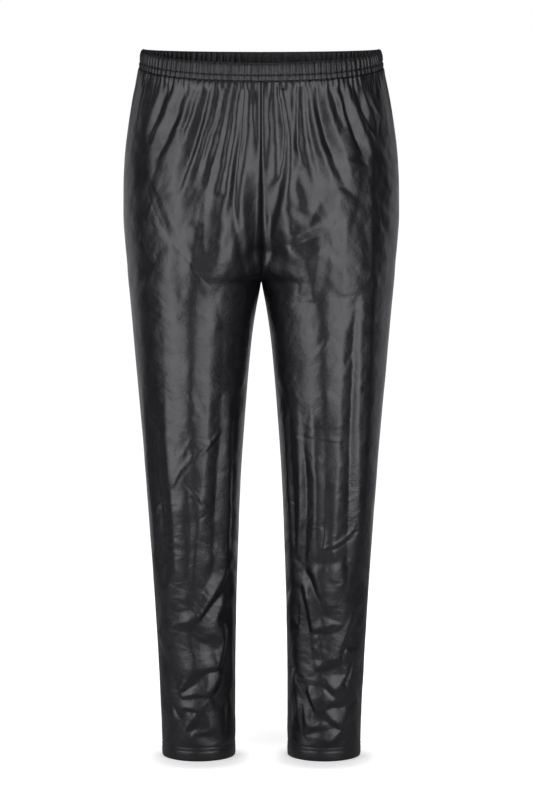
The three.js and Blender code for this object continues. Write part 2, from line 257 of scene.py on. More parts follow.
@dataclass(frozen=True)
class Crumple:
    """Flat facets of cloth between bent crests and troughs, as where a trouser leg rests on itself."""

    lines: tuple[tuple[tuple[float, float, float], ...], ...]
    top: float
    bottom: float
    inner: float
    outer: float
    blur: float
    height: float
    # Corners nearer than this, in millimetres, are taken as one.
    merge: float = 0.5

    def facets(self) -> tuple[np.ndarray, np.ndarray]:
        """Join the crests and troughs into triangles.

        Returns:
            The corners, as across, drop and height, and each triangle's three corners.
        """
        corners, edges = [], []
        for line in self.lines:
            for i, corner in enumerate(line):
                corners.append(corner)
                if i:
                    edges.append((len(corners) - 2, len(corners) - 1))
        # The facets end on flat cloth, at corners spaced round the edge.
        for drop in np.linspace(self.top, self.bottom, 8):
            corners += [(self.inner - GRID_MARGIN, drop, 0.0), (self.outer + GRID_MARGIN, drop, 0.0)]
        for across in np.linspace(self.inner, self.outer, 9):
            corners += [(across, self.top, 0.0), (across, self.bottom, 0.0)]
        flat = [Vector((corner[0], corner[1])) for corner in corners]
        places, _, faces, origins, _, _ = delaunay_2d_cdt(flat, edges, [], 0, self.merge)
        heights = [corners[origin[0]][2] if origin else 0.0 for origin in origins]
        solid = np.array([(place.x, place.y, height) for place, height in zip(places, heights)])
        return solid, np.array(faces)

    @cached_property
    def sheet(self) -> np.ndarray:
        """Draw the facets on a grid of 1 mm steps, and blur their edges.

        Returns:
            Heights in rows, from the top and from the inner side, in millimetres.
        """
        corners, faces = self.facets()
        step = 1.0
        wide = np.arange(self.inner - GRID_MARGIN, self.outer + GRID_MARGIN, step)
        tall = np.arange(self.top, self.bottom, step)
        grid_a, grid_d = np.meshgrid(wide, tall)
        sheet = np.zeros(grid_a.shape)
        for a, b, c in corners[faces]:
            area = (b[0] - a[0]) * (c[1] - a[1]) - (c[0] - a[0]) * (b[1] - a[1])
            if abs(area) < TINY:
                continue
            v = ((grid_a - a[0]) * (c[1] - a[1]) - (c[0] - a[0]) * (grid_d - a[1])) / area
            w = ((b[0] - a[0]) * (grid_d - a[1]) - (grid_a - a[0]) * (b[1] - a[1])) / area
            inside = (v >= -TINY) & (w >= -TINY) & (v + w <= 1 + TINY)
            sheet[inside] = (a[2] + v * (b[2] - a[2]) + w * (c[2] - a[2]))[inside]
        reach = np.arange(-3 * self.blur, 3 * self.blur + step, step)
        weights = np.exp(-(reach / self.blur) ** 2)
        weights /= weights.sum()
        sheet = np.apply_along_axis(np.convolve, 0, sheet, weights, "same")
        return self.height * np.apply_along_axis(np.convolve, 1, sheet, weights, "same")

    def lift(self, across: np.ndarray, drop: np.ndarray) -> np.ndarray:
        """How far the facets move the cloth outwards.

        Args:
            across: Distances round from the leg's middle line, in millimetres.
            drop: Distances down from the waist, in millimetres.

        Returns:
            The outward move at each place, in millimetres.
        """
        return read_sheet(self.sheet, across - self.inner + GRID_MARGIN, drop - self.top)


def read_sheet(sheet: np.ndarray, column: np.ndarray, row: np.ndarray) -> np.ndarray:
    """Read a sheet of heights between its points, 0 outside it.

    Args:
        sheet: Heights, in rows.
        column: Places along the rows, in points.
        row: Places down the columns, in points.

    Returns:
        The heights there.
    """
    rows, columns = sheet.shape
    inside = (column >= 0) & (column <= columns - 1) & (row >= 0) & (row <= rows - 1)
    x, y = np.clip(column, 0, columns - 1.001), np.clip(row, 0, rows - 1.001)
    i, j = x.astype(int), y.astype(int)
    u, v = x - i, y - j
    value = ((sheet[j, i] * (1 - u) + sheet[j, i + 1] * u) * (1 - v)
             + (sheet[j + 1, i] * (1 - u) + sheet[j + 1, i + 1] * u) * v)
    return np.where(inside, value, 0.0)


def read_lines(text: str) -> tuple[tuple[tuple[float, float, float], ...], ...]:
    """Read crests and troughs, one a line, from their across,drop,height corners."""
    lines = text.strip().splitlines()
    return tuple(tuple(tuple(map(float, corner.split(","))) for corner in line.split()) for line in lines)


def ankle(text: str, seed: int, turned: bool = False, lower: float = 0.0) -> Crumple:
    """The crumple above a hem, with small seeded dents between its drawn lines.

    Args:
        text: Its crests and troughs.
        seed: What the dents are drawn from.
        turned: Whether it is turned over from side to side.
        lower: How far it is moved down, in millimetres.

    Returns:
        The crumple.
    """
    spacing, jitter, clear = 22, 7, 11
    acrosses, drops, heights = range(-66, 67, spacing), range(712, 972, spacing), (-1.5, 1.7)
    way = -1 if turned else 1
    lines = [tuple((way * a, d + lower, h) for a, d, h in line) for line in read_lines(text)]
    drawn = np.array([corner[:2] for line in lines for corner in line])
    random = np.random.default_rng(seed)
    for across in acrosses:
        for drop in drops:
            spot = np.array([across, drop]) + random.uniform(-jitter, jitter, 2)
            height = random.uniform(*heights)
            if np.linalg.norm(drawn - spot, axis=1).min() > clear:
                lines.append(((spot[0], spot[1], height),))
    return Crumple(tuple(lines), top=690.0, bottom=985.0, inner=-78.0, outer=78.0, blur=2.0, height=1.5)


def shin(text: str, turned: bool = False) -> Crumple:
    """The long soft planes between the thigh and the ankle's crumple.

    Args:
        text: Their crests and troughs.
        turned: Whether they are turned over from side to side.

    Returns:
        The crumple.
    """
    way = -1 if turned else 1
    lines = tuple(tuple((way * a, d, h) for a, d, h in line) for line in read_lines(text))
    return Crumple(lines, top=330.0, bottom=760.0, inner=-96.0, outer=96.0, blur=2.2, height=1.3)


def waist(text: str) -> Crumple:
    """The folds that hang from the casing."""
    return Crumple(read_lines(text), top=22.0, bottom=345.0, inner=-112.0, outer=224.0, blur=1.8, height=1.4)


# Half width, height : across,drop at each bend. Across grows towards the side seam.
LEG_RIGHT = read_folds("""
1.6 -0.45 : 128,175 101,212 78,239 56,259 28,279 -13,314 -29,328 -38,349 -46,387
2.2 0.25 : 100,226 74,254 41,278 4,303 -18,328 -30,363
2.5 0.5 : -3,294 -13,288 -28,289
2.8 -0.5 : -10,304 -31,300
1.4 -0.3 : 82,274 63,290
1.4 -0.3 : 67,316 51,330
12.7 -0.6 : 15,321 12,426 8,524 14,623
2.8 -0.4 : -4,465 -9,479 -16,493
2.5 0.5 : 4,470 -5,493 -16,510
28 4.4 : 4,321 1,384 2,453 4,523 8,623 12,738 15,840
2.6 1.5 : -42,526 -31,537 -20,546
1.7 1.5 : -26,541 -14,555 -4,564
2.4 1.3 : -3,556 6,569 13,579
1.6 1.3 : 12,574 21,589 29,606
1.3 -0.6 : -43,531 -24,548 -8,563
1.3 -0.6 : -1,566 12,583 24,603
1.2 1.0 : 9,601 -5,614 -19,633
1.2 -0.5 : 12,604 -3,618 -16,636
1.3 0.9 : 43,622 58,635 64,650
2.0 1.0 : 1,538 8,547 13,560
1.6 -0.8 : 20,551 23,563
""", 0.5)
LEG_LEFT = read_folds("""
2.5 0.6 : -26,259 -15,252 3,245 22,238
2.8 -0.7 : -28,267 -8,259 12,252
2.1 0.5 : 10,263 -2,289 -20,321 -32,342 -41,370 -48,393
2.1 -0.6 : -33,298 -44,322 -48,346
2.1 -0.4 : -18,295 -28,314
12.7 -0.6 : 23,279 3,384 0,481 4,580 0,666
1.7 0.6 : -1,388 -7,403 -16,414 -26,422
2.1 -0.4 : -8,388 -16,403 -25,413
1.6 -0.4 : 6,391 13,412
1.6 -0.4 : 13,426 14,438
28 4.4 : -8,321 -8,384 -6,453 -5,523 -4,623 -3,738 -3,839
13 2.0 : 141,53 129,134 97,233 66,344 57,455 53,568 53,683
1.2 1.3 : -46,529 -27,531 -8,535 11,538 30,538
1.2 -0.45 : -44,534 -25,535 -6,539 12,542 30,543
1.2 0.7 : -46,512 -33,516 -21,521
1.3 0.6 : -15,515 8,518 28,513
1.5 1.4 : 39,657 31,671 19,680 2,687 -10,693
1.5 -0.8 : 42,666 32,680 16,689 -4,696
2.2 -0.9 : -9,651 -6,673 -8,697
1.6 0.8 : -28,555 -19,562 -12,570
""", 0.5)
BACK_SEAT = read_folds("""
6 -1.6 : -75,292 -30,330 20,352
6 1.3 : -70,306 -25,345 22,368
5 -1.2 : -60,330 -20,368 10,384
5 1.0 : 80,262 50,300 15,330
14 -1.8 : 6,340 4,450 0,560
5 -1.9 : -40,584 -8,592 34,600
5 1.5 : -38,598 -5,606 32,614
5 -1.4 : -42,632 -10,630 24,622
4 1.0 : -20,648 12,656 36,658
""", 0.6)
# Across,drop,height at each corner of a crest or trough.
ANKLE_RIGHT = """
-52,721,0.9 -48,731,1.6 -33,751,2.4 -21,767,2.7 -7,787,2.7 8,797,2.4 29,801,1.3
-27,727,-0.6 -17,747,-0.7 -6,767,-0.6 7,780,-0.4 22,785,-0.9 33,792,-0.4
-54,733,-1.1 -47,756,-1.9 -27,774,-1.8 -16,786,-1.6 -6,799,-1.2 6,813,-1.0
-19,791,-0.4 -30,799,0.7 -42,814,1.6 -44,828,1.8 -39,849,1.6 -33,866,1.9
-55,815,-1.1 -52,841,-1.3 -45,863,-1.1
15,811,-0.6 8,832,0.4 0,865,2.2
54,771,0.6 54,803,0.7 55,830,1.0
53,841,-0.6 41,868,-1.0 32,890,-1.1 27,904,-0.7
44,834,-0.7 23,849,0.4
24,898,1.6 10,878,2.2 0,867,2.4 -16,866,2.1 -32,866,2.1
19,901,-0.9 7,891,-1.5 -5,881,-1.5 -19,872,-1.0 -35,870,-0.4
21,907,0.7 6,904,1.6 -12,903,2.2 -24,895,2.1 -35,880,1.2
-40,880,-1.0 -33,896,-1.2 -22,908,-1.0
24,911,-0.6 7,909,-1.2 -9,907,-0.9
20,923,0.7 0,925,2.0 -16,912,1.3
17,927,-0.4 5,929,-0.4
-1,928,1.9 5,939,1.9 14,950,1.6 17,957,1.2 11,965,1.0 -0,975,0.6
-7,933,-0.7 -2,946,-1.3 11,958,-1.2 -11,954,-0.7
8,961,0.9 -6,958,1.2 -18,954,1.3 -28,955,0.9
-8,929,0.3 -18,940,0.7 -28,952,0.6
-29,916,-1.2 -40,900,-0.7 -45,933,-0.9
51,935,0.7 32,938,0.6
41,919,-0.7 24,945,-0.9 34,963,-0.6
27,973,0.7 12,974,0.5
-8,964,-0.5 -15,967,-0.5
59,874,0.7 65,904,0.7 60,936,0.6
-61,772,0.3 -64,831,0.4 -53,902,0.4 -42,970,0.4
"""
ANKLE_LEFT = """
-43,714,-0.6 -36,725,-1.3 -26,737,-2.1 -21,750,-2.1 -15,763,-1.7 -10,774,-1.1 -2,787,-0.7 5,796,-0.6
-39,744,0.4 -32,754,1.3 -30,765,1.4 -25,785,1.0 -21,808,1.5
-41,752,-0.7 -37,769,-1.1 -31,790,-1.3 -27,811,-1.5 -25,833,-1.5 -22,855,-1.3 -18,872,-1.0 -15,886,-0.7
-21,727,1.2 -15,738,1.6 -10,755,1.6 -4,773,1.2
-11,787,-0.3 -1,793,-0.5
-21,808,1.5 -12,809,2.1 -3,804,1.9 5,799,1.0
-21,815,-0.3 -10,813,-1.0 4,816,-1.1 16,812,-0.7 25,803,-0.1
34,800,1.0 29,813,1.6 24,826,1.7 18,840,1.6 9,845,0.9
38,815,-0.6 31,835,-1.2 23,846,-1.0
-4,825,-0.7 -1,836,-0.7
-14,837,0.4 -10,828,0.4
7,854,1.3 17,848,1.4 28,843,0.9
-9,863,1.4 1,852,1.3
-6,871,-0.9 10,865,-1.2 24,862,-0.8
-6,881,-0.4 11,896,2.2 21,889,1.8 32,874,0.8
-3,877,-1.0 12,877,-1.0 29,877,-0.6
41,860,-0.6 34,879,-1.0 28,891,-0.7
50,843,0.7 44,863,0.9 38,879,0.9 31,896,0.5
-27,898,0.9 -22,910,1.6 -17,921,1.7 -14,929,1.2
-30,899,-1.2 -25,911,-1.7 -18,924,-1.8 -15,932,-0.9
-22,892,-0.8 -9,893,-1.1 3,899,-0.8
-20,907,1.1 -8,909,1.3 -1,901,1.0
5,917,1.0 11,913,1.3 15,909,0.7
7,923,-1.0 22,923,-1.3 38,920,-0.7
-2,928,0.1 9,941,1.6 23,952,2.2 29,941,1.8 38,929,0.7
-21,939,-0.7 -7,941,-1.3 6,944,-1.0 19,953,-0.7
-29,941,0.6 -26,948,1.3 -19,951,1.1 -7,948,0.9
-9,957,-0.4 7,954,-0.7
-4,967,1.2 5,971,1.9 13,966,1.7 23,956,1.2
33,957,-0.6 26,968,-0.7
-42,769,0.2 -45,828,0.4 -50,902,0.6 -42,944,0.5
-37,914,-0.9 -34,965,-0.7
54,917,0.7 50,945,0.6 56,976,0.4
40,947,-0.3 37,969,-0.4
15,753,0.4 18,775,0.3
"""
SHIN_RIGHT = """
66,379,-0.4 61,456,-1.0 58,540,-1.7 54,597,-2.2 46,654,-2.2 41,726,-1.2
87,458,0.3 82,543,0.9 78,600,1.3 68,656,1.3 65,721,0.8
40,384,0.5 38,468,0.8 37,539,1.2 32,595,1.7 27,652,1.6 24,731,0.9
8,538,-0.5 6,608,-1.0 5,666,-1.2 8,731,-0.9
-24,398,0.9 -24,468,1.1 -20,538,1.6 -14,594,2.0 -7,651,2.0 0,723,1.0
-46,399,-0.6 -44,469,-0.9 -40,539,-1.5 -35,595,-2.0 -31,652,-2.2 -27,724,-1.4
-58,484,0.5 -56,554,1.0 -57,626,1.2 -52,712,0.8
-67,499,-0.5 -66,584,-0.9 -64,685,-0.7
"""
SHIN_LEFT = """
-65,498,-0.6 -62,555,-1.0 -56,626,-1.4 -51,712,-1.0
-75,514,0.8 -72,570,1.2 -65,641,1.2 -60,713,0.7
-45,413,0.3 -46,483,0.4 -48,539,0.6 -44,596,1.0 -44,653,0.8
-38,539,-0.8 -34,595,-2.4 -33,652,-2.4 -34,725,-1.2
-29,398,0.8 -27,482,1.2 -22,538,1.6 -19,594,2.2 -18,652,2.0 -14,731,0.8
-8,524,-0.8 -6,594,-1.2 -6,666,-1.0
18,398,0.8 13,481,0.9 11,538,1.1 10,594,1.3 8,651,1.3 5,723,0.8
40,342,-0.8 33,412,-1.8 30,504,-2.2 29,552,-2.2 28,609,-2.4 28,666,-2.2 28,724,-1.0
50,343,0.6 42,412,1.5 39,505,1.6 40,553,1.7 43,610,1.7 44,668,1.5 42,726,0.8
75,386,0.6 69,456,1.2 67,527,1.5 67,598,1.5 66,685,1.0
"""
WAIST_RIGHT = """
132,47,0.7 142,82,1.3 147,112,0.3
118,43,-0.8 128,77,-1.6 134,101,-1.3 138,119,-0.4
107,39,0.8 117,77,1.6 126,103,1.3 131,129,0.4
91,41,-1.0 99,73,-1.8 104,101,-2.0 108,128,-1.3 112,149,-0.5
81,37,0.8 89,73,1.5 94,101,1.7 99,129,1.1 103,157,0.4
76,37,-0.6 81,72,-1.2 86,100,-0.3
68,33,0.8 76,72,1.4 80,100,1.7 81,128,1.6 81,154,1.0 78,184,0.4
61,38,-1.2 65,76,-2.1 66,112,-2.4 65,149,-1.6 64,188,-0.6
54,32,1.0 58,65,1.5 59,92,2.0 59,127,2.0 60,164,1.6 60,202,1.1 60,225,0.5
46,38,-0.8 50,83,-1.3 54,111,-1.5 51,154,-1.0 47,188,-0.4
41,32,0.8 44,70,1.4 46,106,1.6 44,143,1.1 40,179,0.4
37,37,-0.7 39,95,-1.1 36,139,-1.4 30,190,-1.3 17,234,-0.8 5,272,-0.4
32,34,0.8 34,70,1.1 31,111,1.5 25,153,1.5 18,197,1.2 7,238,0.8 -9,279,0.4
27,34,-0.6 28,79,-1.1 26,114,-1.2 19,153,-0.8 12,193,-0.3
22,34,1.2 26,69,1.7 21,114,2.2 14,153,2.4 2,197,2.3 -5,231,1.7 -19,272,1.2 -44,315,0.6
18,37,-2.2 18,82,-3.1 11,129,-4.1 2,168,-4.4 -9,204,-4.2 -27,245,-3.2 -50,284,-2.1 -92,324,-1.1
13,34,0.6 12,82,0.9 4,129,1.2 -5,168,1.2 -16,204,1.0 -33,238,0.6 -58,280,0.3
10,37,-0.8 7,74,-1.6 0,101,-1.3 -9,137,-0.4
5,34,0.4 1,82,0.8 -14,145,0.6 -35,204,0.2
112,181,-0.5 95,205,-0.9 77,230,-0.9 57,254,-0.7 36,275,-0.5
89,200,0.5 61,235,0.8 35,262,0.6
24,245,0.9 15,279,1.0 4,321,0.6
45,232,-0.5 34,273,-0.6 20,321,-0.4
48,276,0.6 37,321,0.6
-13,242,1.0 -18,270,1.8 -21,297,2.0 -23,323,1.4
"""
WAIST_LEFT = """
3,34,0.5 -2,97,0.9 -25,176,0.2
10,34,-0.8 4,89,-1.5 -6,129,-1.2 -29,190,-0.4
14,34,0.8 13,82,1.6 4,129,1.3 -11,168,0.4
19,34,-2.1 23,63,-3.0 22,98,-3.9 10,137,-4.2 -6,173,-4.1 -21,204,-3.1 -39,234,-2.1 -58,266,-1.1
24,37,1.3 27,79,2.0 21,122,2.6 9,161,2.6 -7,193,2.1 -21,215,1.4 -37,240,0.7
31,34,-0.4 32,70,-0.8 29,98,-0.2
37,34,0.8 34,82,1.7 22,130,1.4 14,161,0.4
42,35,-1.4 37,82,-2.4 30,122,-2.8 27,145,-1.9 28,164,-0.7
47,35,0.8 45,82,1.3 40,122,1.5 35,158,1.0 28,190,0.4
52,35,-0.7 50,90,-1.2 47,130,-1.4 43,169,-0.9 39,199,-0.4
56,35,0.8 57,83,1.4 56,122,1.6 56,158,1.1 57,188,0.4
64,36,-1.3 66,76,-2.3 67,115,-2.6 67,154,-1.7 69,187,-0.7
73,36,0.9 79,76,1.6 83,113,1.8 84,147,1.2 83,177,0.5
82,37,-0.6 90,67,-1.2 94,91,-0.3
89,38,0.7 97,67,1.4 102,101,1.1 106,132,0.4
97,41,-1.2 101,83,-2.1 105,114,-2.4 109,145,-1.6 113,160,-0.6
108,39,0.8 119,75,1.7 124,106,1.4 127,134,0.4
118,40,-1.0 126,73,-2.0 135,99,-1.6 144,120,-0.5
131,39,0.8 140,71,1.6 148,99,0.4
141,37,-0.7 152,65,-1.4 162,85,-0.4
59,193,1.2 48,214,1.5 28,229,1.5 2,241,1.5 -19,253,1.2
-26,268,-1.0 -8,260,-1.7 11,252,-1.3 30,244,-0.6
6,187,-0.6 -1,220,-1.0 12,227,-1.0 31,204,-0.8
16,190,1.0 13,211,1.0
-22,281,1.2 2,275,1.2 25,264,0.9
29,253,-0.6 13,281,-0.9 -6,317,-0.6
-40,266,-2.0 -52,290,-3.0 -79,323,-2.4
-18,289,1.8 -26,321,1.9 -27,353,0.8
58,225,0.8 40,273,1.0 20,328,0.8
83,205,-0.5 72,227,-0.4
"""


@dataclass(frozen=True)
class Ripple:
    """Soft uneven waves over the cloth, the same each run."""

    seed: int
    spacing: float
    height: float
    waves: int = 9
    pitches: tuple[float, float] = (0.7, 1.5)
    # How far each wave's crests swing, and how often, as a share of the wave's own rate.
    swing: float = 0.35
    swing_rate: float = 0.37

    def lift(self, across: np.ndarray, drop: np.ndarray) -> np.ndarray:
        """How far the waves move the cloth outwards.

        Args:
            across: Distances round from the leg's middle line, in millimetres.
            drop: Distances down from the waist, in millimetres.

        Returns:
            The outward move at each place, in millimetres.
        """
        random = np.random.default_rng(self.seed)
        total = np.zeros(across.shape)
        for _ in range(self.waves):
            angle, phase = random.uniform(0, math.pi), random.uniform(0, 2 * math.pi)
            pitch = self.spacing * random.uniform(*self.pitches)
            wave = 2 * math.pi / pitch
            aside = across * math.sin(angle) - drop * math.cos(angle)
            bend = self.swing * np.sin(wave * self.swing_rate * aside + 2 * phase)
            total += np.sin(wave * (across * math.cos(angle) + drop * math.sin(angle)) + phase + bend)
        return self.height * total / math.sqrt(self.waves)


@dataclass(frozen=True)
class Wrinkles:
    """Small short creases strewn over the front of a leg, the same each run."""

    seed: int
    count: int = 130
    top: float = 330.0
    bottom: float = 900.0
    half: float = 62.0
    height: float = 0.42
    lean: float = 0.0
    spread: float = 0.45
    reaches: tuple[float, float] = (6.0, 18.0)
    widths: tuple[float, float] = (2.3, 3.6)
    sizes: tuple[float, float] = (0.4, 1.0)

    def lift(self, across: np.ndarray, drop: np.ndarray) -> np.ndarray:
        """How far the creases move the cloth outwards.

        Args:
            across: Distances round from the leg's middle line, in millimetres.
            drop: Distances down from the waist, in millimetres.

        Returns:
            The outward move at each place, in millimetres.
        """
        random = np.random.default_rng(self.seed + 70)
        total = np.zeros(across.shape)
        for _ in range(self.count):
            middle_a = random.uniform(-self.half, self.half)
            middle_d = random.uniform(self.top, self.bottom)
            angle = self.lean + random.normal(0, self.spread)
            reach, width = random.uniform(*self.reaches), random.uniform(*self.widths)
            size = self.height * random.uniform(*self.sizes)
            right, down = across - middle_a, drop - middle_d
            along = right * math.cos(angle) + down * math.sin(angle)
            beside = (down * math.cos(angle) - right * math.sin(angle)) / width
            total += size * 1.6 * beside * np.exp(-beside ** 2 - (along / reach) ** 2)
        return total


@dataclass(frozen=True)
class Quarter:
    """One quarter of the garment, and where its surface lies."""

    face: Face
    side: Side
    folds: tuple[Fold, ...]
    crumples: tuple[Crumple, ...]
    seed: int
    outline: Outline = Outline()
    dip_front: float = 18.5
    dip_back: float = 4.0
    dip_end: float = 200.0
    # Over these drops the middle of a turn moves from the corner to the leg's own middle line.
    middle_from: float = 150.0
    middle_over: float = 250.0

    @property
    def name(self) -> str:
        """The quarter's name, as the solids have it."""
        return f"{self.face.name.lower()}_{self.side.name.lower()}"

    def depth(self, ring: dict[str, np.ndarray]) -> np.ndarray:
        """The section's depth on this face."""
        return ring["front"] if self.face is Face.FRONT else ring["back"]

    def angle(self, turn: np.ndarray, drop: np.ndarray) -> np.ndarray:
        """The angle round the section of a turn.

        Args:
            turn: Places round the quarter, 0 at the side seam and 1 at the centre seam or inseam.
            drop: Distances down from the waist, in millimetres.

        Returns:
            Angles in radians, 0 at the side seam.
        """
        ring = self.outline.ring(drop)
        sweep = np.arccos(np.clip((SEAM_GAP / 2 - ring["middle"]) / (ring["middle"] - ring["inner"]), -1, 1))
        half = (math.pi / 4) * (1 + ease((drop - self.middle_from) / self.middle_over))
        return np.where(turn < 0.5, 2 * turn * half, half + (2 * turn - 1) * (sweep - half))

    def place(self, turn: np.ndarray, drop: np.ndarray) -> tuple[np.ndarray, np.ndarray, np.ndarray]:
        """Find the plain surface.

        Args:
            turn: Places round the quarter, 0 at the side seam and 1 at the centre seam or inseam.
            drop: Distances down from the waist, in millimetres.

        Returns:
            Points, outward directions, and distances round from the leg's middle line, in millimetres.
        """
        ring = self.outline.ring(drop)
        depth = self.depth(ring)
        angle = self.angle(turn, drop)
        outer = np.cos(angle) > 0
        width = np.where(outer, ring["outer"] - ring["middle"], ring["middle"] - ring["inner"])
        x = ring["middle"] + width * np.cos(angle)
        y = depth * np.sin(angle)
        dip = self.dip_front if self.face is Face.FRONT else self.dip_back
        fade = 1 - ease((drop - CASING_HEIGHT) / (self.dip_end - CASING_HEIGHT))
        z = -drop - dip * np.sin(np.clip(angle, 0, math.pi / 2)) * fade
        points = np.stack([
            self.side.value * x, ring["seam"] + self.face.value * (y + SEAM_GAP / 2), z], axis=-1)

        def outwardness(at: np.ndarray) -> np.ndarray:
            """Measure how far out x and y are from another drop's section.

            Args:
                at: That drop, in millimetres.

            Returns:
                1 on the section's line, and more outside it.
            """
            other = self.outline.ring(at)
            reach = np.where(
                x > other["middle"], other["outer"] - other["middle"], other["middle"] - other["inner"])
            deep = y + self.face.value * (ring["seam"] - other["seam"])
            return ((x - other["middle"]) / reach) ** 2 + (deep / self.depth(other)) ** 2

        low, high = np.maximum(drop - 1, 0), np.minimum(drop + 1, LENGTH)
        normal = np.stack([
            self.side.value * 2 * (x - ring["middle"]) / width ** 2,
            self.face.value * 2 * y / depth ** 2,
            -(outwardness(high) - outwardness(low)) / (high - low)], axis=-1)
        normal /= np.linalg.norm(normal, axis=-1, keepdims=True)
        across = (width + depth) / 2 * (math.pi / 2 - angle)
        return points, normal, across

    def seam_distance(self, turn: np.ndarray, drop: np.ndarray) -> np.ndarray:
        """Estimate the distance to the nearest lengthwise seam.

        Args:
            turn: Places round the quarter.
            drop: Distances down from the waist, in millimetres.

        Returns:
            Distances in millimetres.
        """
        ring = self.outline.ring(drop)
        radius = ((ring["outer"] - ring["inner"]) / 2 + self.depth(ring)) / 2
        angle, sweep = self.angle(turn, drop), self.angle(np.ones_like(turn), drop)
        return radius * np.minimum(angle, sweep - angle)


def seam_sides(normal: np.ndarray, turn: np.ndarray, drop: np.ndarray) -> np.ndarray:
    """Turn the directions on a quarter's own edges into the plane of their seam.

    Args:
        normal: Outward directions.
        turn: Places round the quarter.
        drop: Distances down from the waist, in millimetres.

    Returns:
        The directions, changed on the edges only.
    """
    flat = normal.copy()
    centre = (turn > 0.999) & (drop < CROTCH_DROP)
    side = ((turn < 0.001) | (turn > 0.999)) & ~centre
    flat[centre, 0] = 0
    flat[side, 1] = 0
    return flat / np.linalg.norm(flat, axis=-1, keepdims=True)


def new_grid(name: str, columns: int, rows: int) -> bpy.types.Object:
    """Add a flat unit grid, with x and y from 0 to 1, as the start of a piece of cloth.

    Args:
        name: The piece's name.
        columns: Faces along x.
        rows: Faces along y.

    Returns:
        The grid's object, at the origin.
    """
    bpy.ops.object.select_all(action="DESELECT")
    bpy.ops.mesh.primitive_grid_add(x_subdivisions=columns, y_subdivisions=rows, size=1, location=(0, 0, 0))
    piece = bpy.context.object
    piece.name = name
    piece.data.name = name
    bpy.ops.object.mode_set(mode="EDIT")
    bpy.ops.mesh.select_all(action="SELECT")
    bpy.ops.transform.translate(value=(0.5, 0.5, 0))
    bpy.ops.object.mode_set(mode="OBJECT")
    return piece


def grid_places(piece: bpy.types.Object) -> np.ndarray:
    """Read where a grid's points lie.

    Args:
        piece: The grid.

    Returns:
        The x and y of each point.
    """
    flat = np.empty(len(piece.data.vertices) * 3)
    piece.data.vertices.foreach_get("co", flat)
    return flat.reshape(-1, 3)[:, :2]


def set_points(piece: bpy.types.Object, points: np.ndarray) -> None:
    """Put a piece's points at places given in millimetres."""
    piece.data.vertices.foreach_set("co", (points * MM).ravel())
    piece.data.update()


def thicken(piece: bpy.types.Object, wall: float, turned: bool) -> None:
    """Face a sheet outwards, give it a wall on its inner side and shade it smooth.

    Args:
        piece: The sheet.
        wall: Its thickness in millimetres.
        turned: Whether the sheet's faces point inwards as it was made.
    """
    bpy.ops.object.select_all(action="DESELECT")
    piece.select_set(True)
    bpy.context.view_layer.objects.active = piece
    if turned:
        bpy.ops.object.mode_set(mode="EDIT")
        bpy.ops.mesh.select_all(action="SELECT")
        bpy.ops.mesh.flip_normals()
        bpy.ops.object.mode_set(mode="OBJECT")
    solid = piece.modifiers.new("Wall", "SOLIDIFY")
    solid.thickness = wall * MM
    solid.offset = -1
    bpy.ops.object.modifier_apply(modifier=solid.name)
    bpy.ops.object.shade_smooth()


def new_material(name: str) -> bpy.types.Material:
    """Add a material with an empty node tree.

    Args:
        name: The material's name.

    Returns:
        The material.
    """
    material = bpy.data.materials.new(name)
    material.use_nodes = True
    material.node_tree.nodes.clear()
    return material


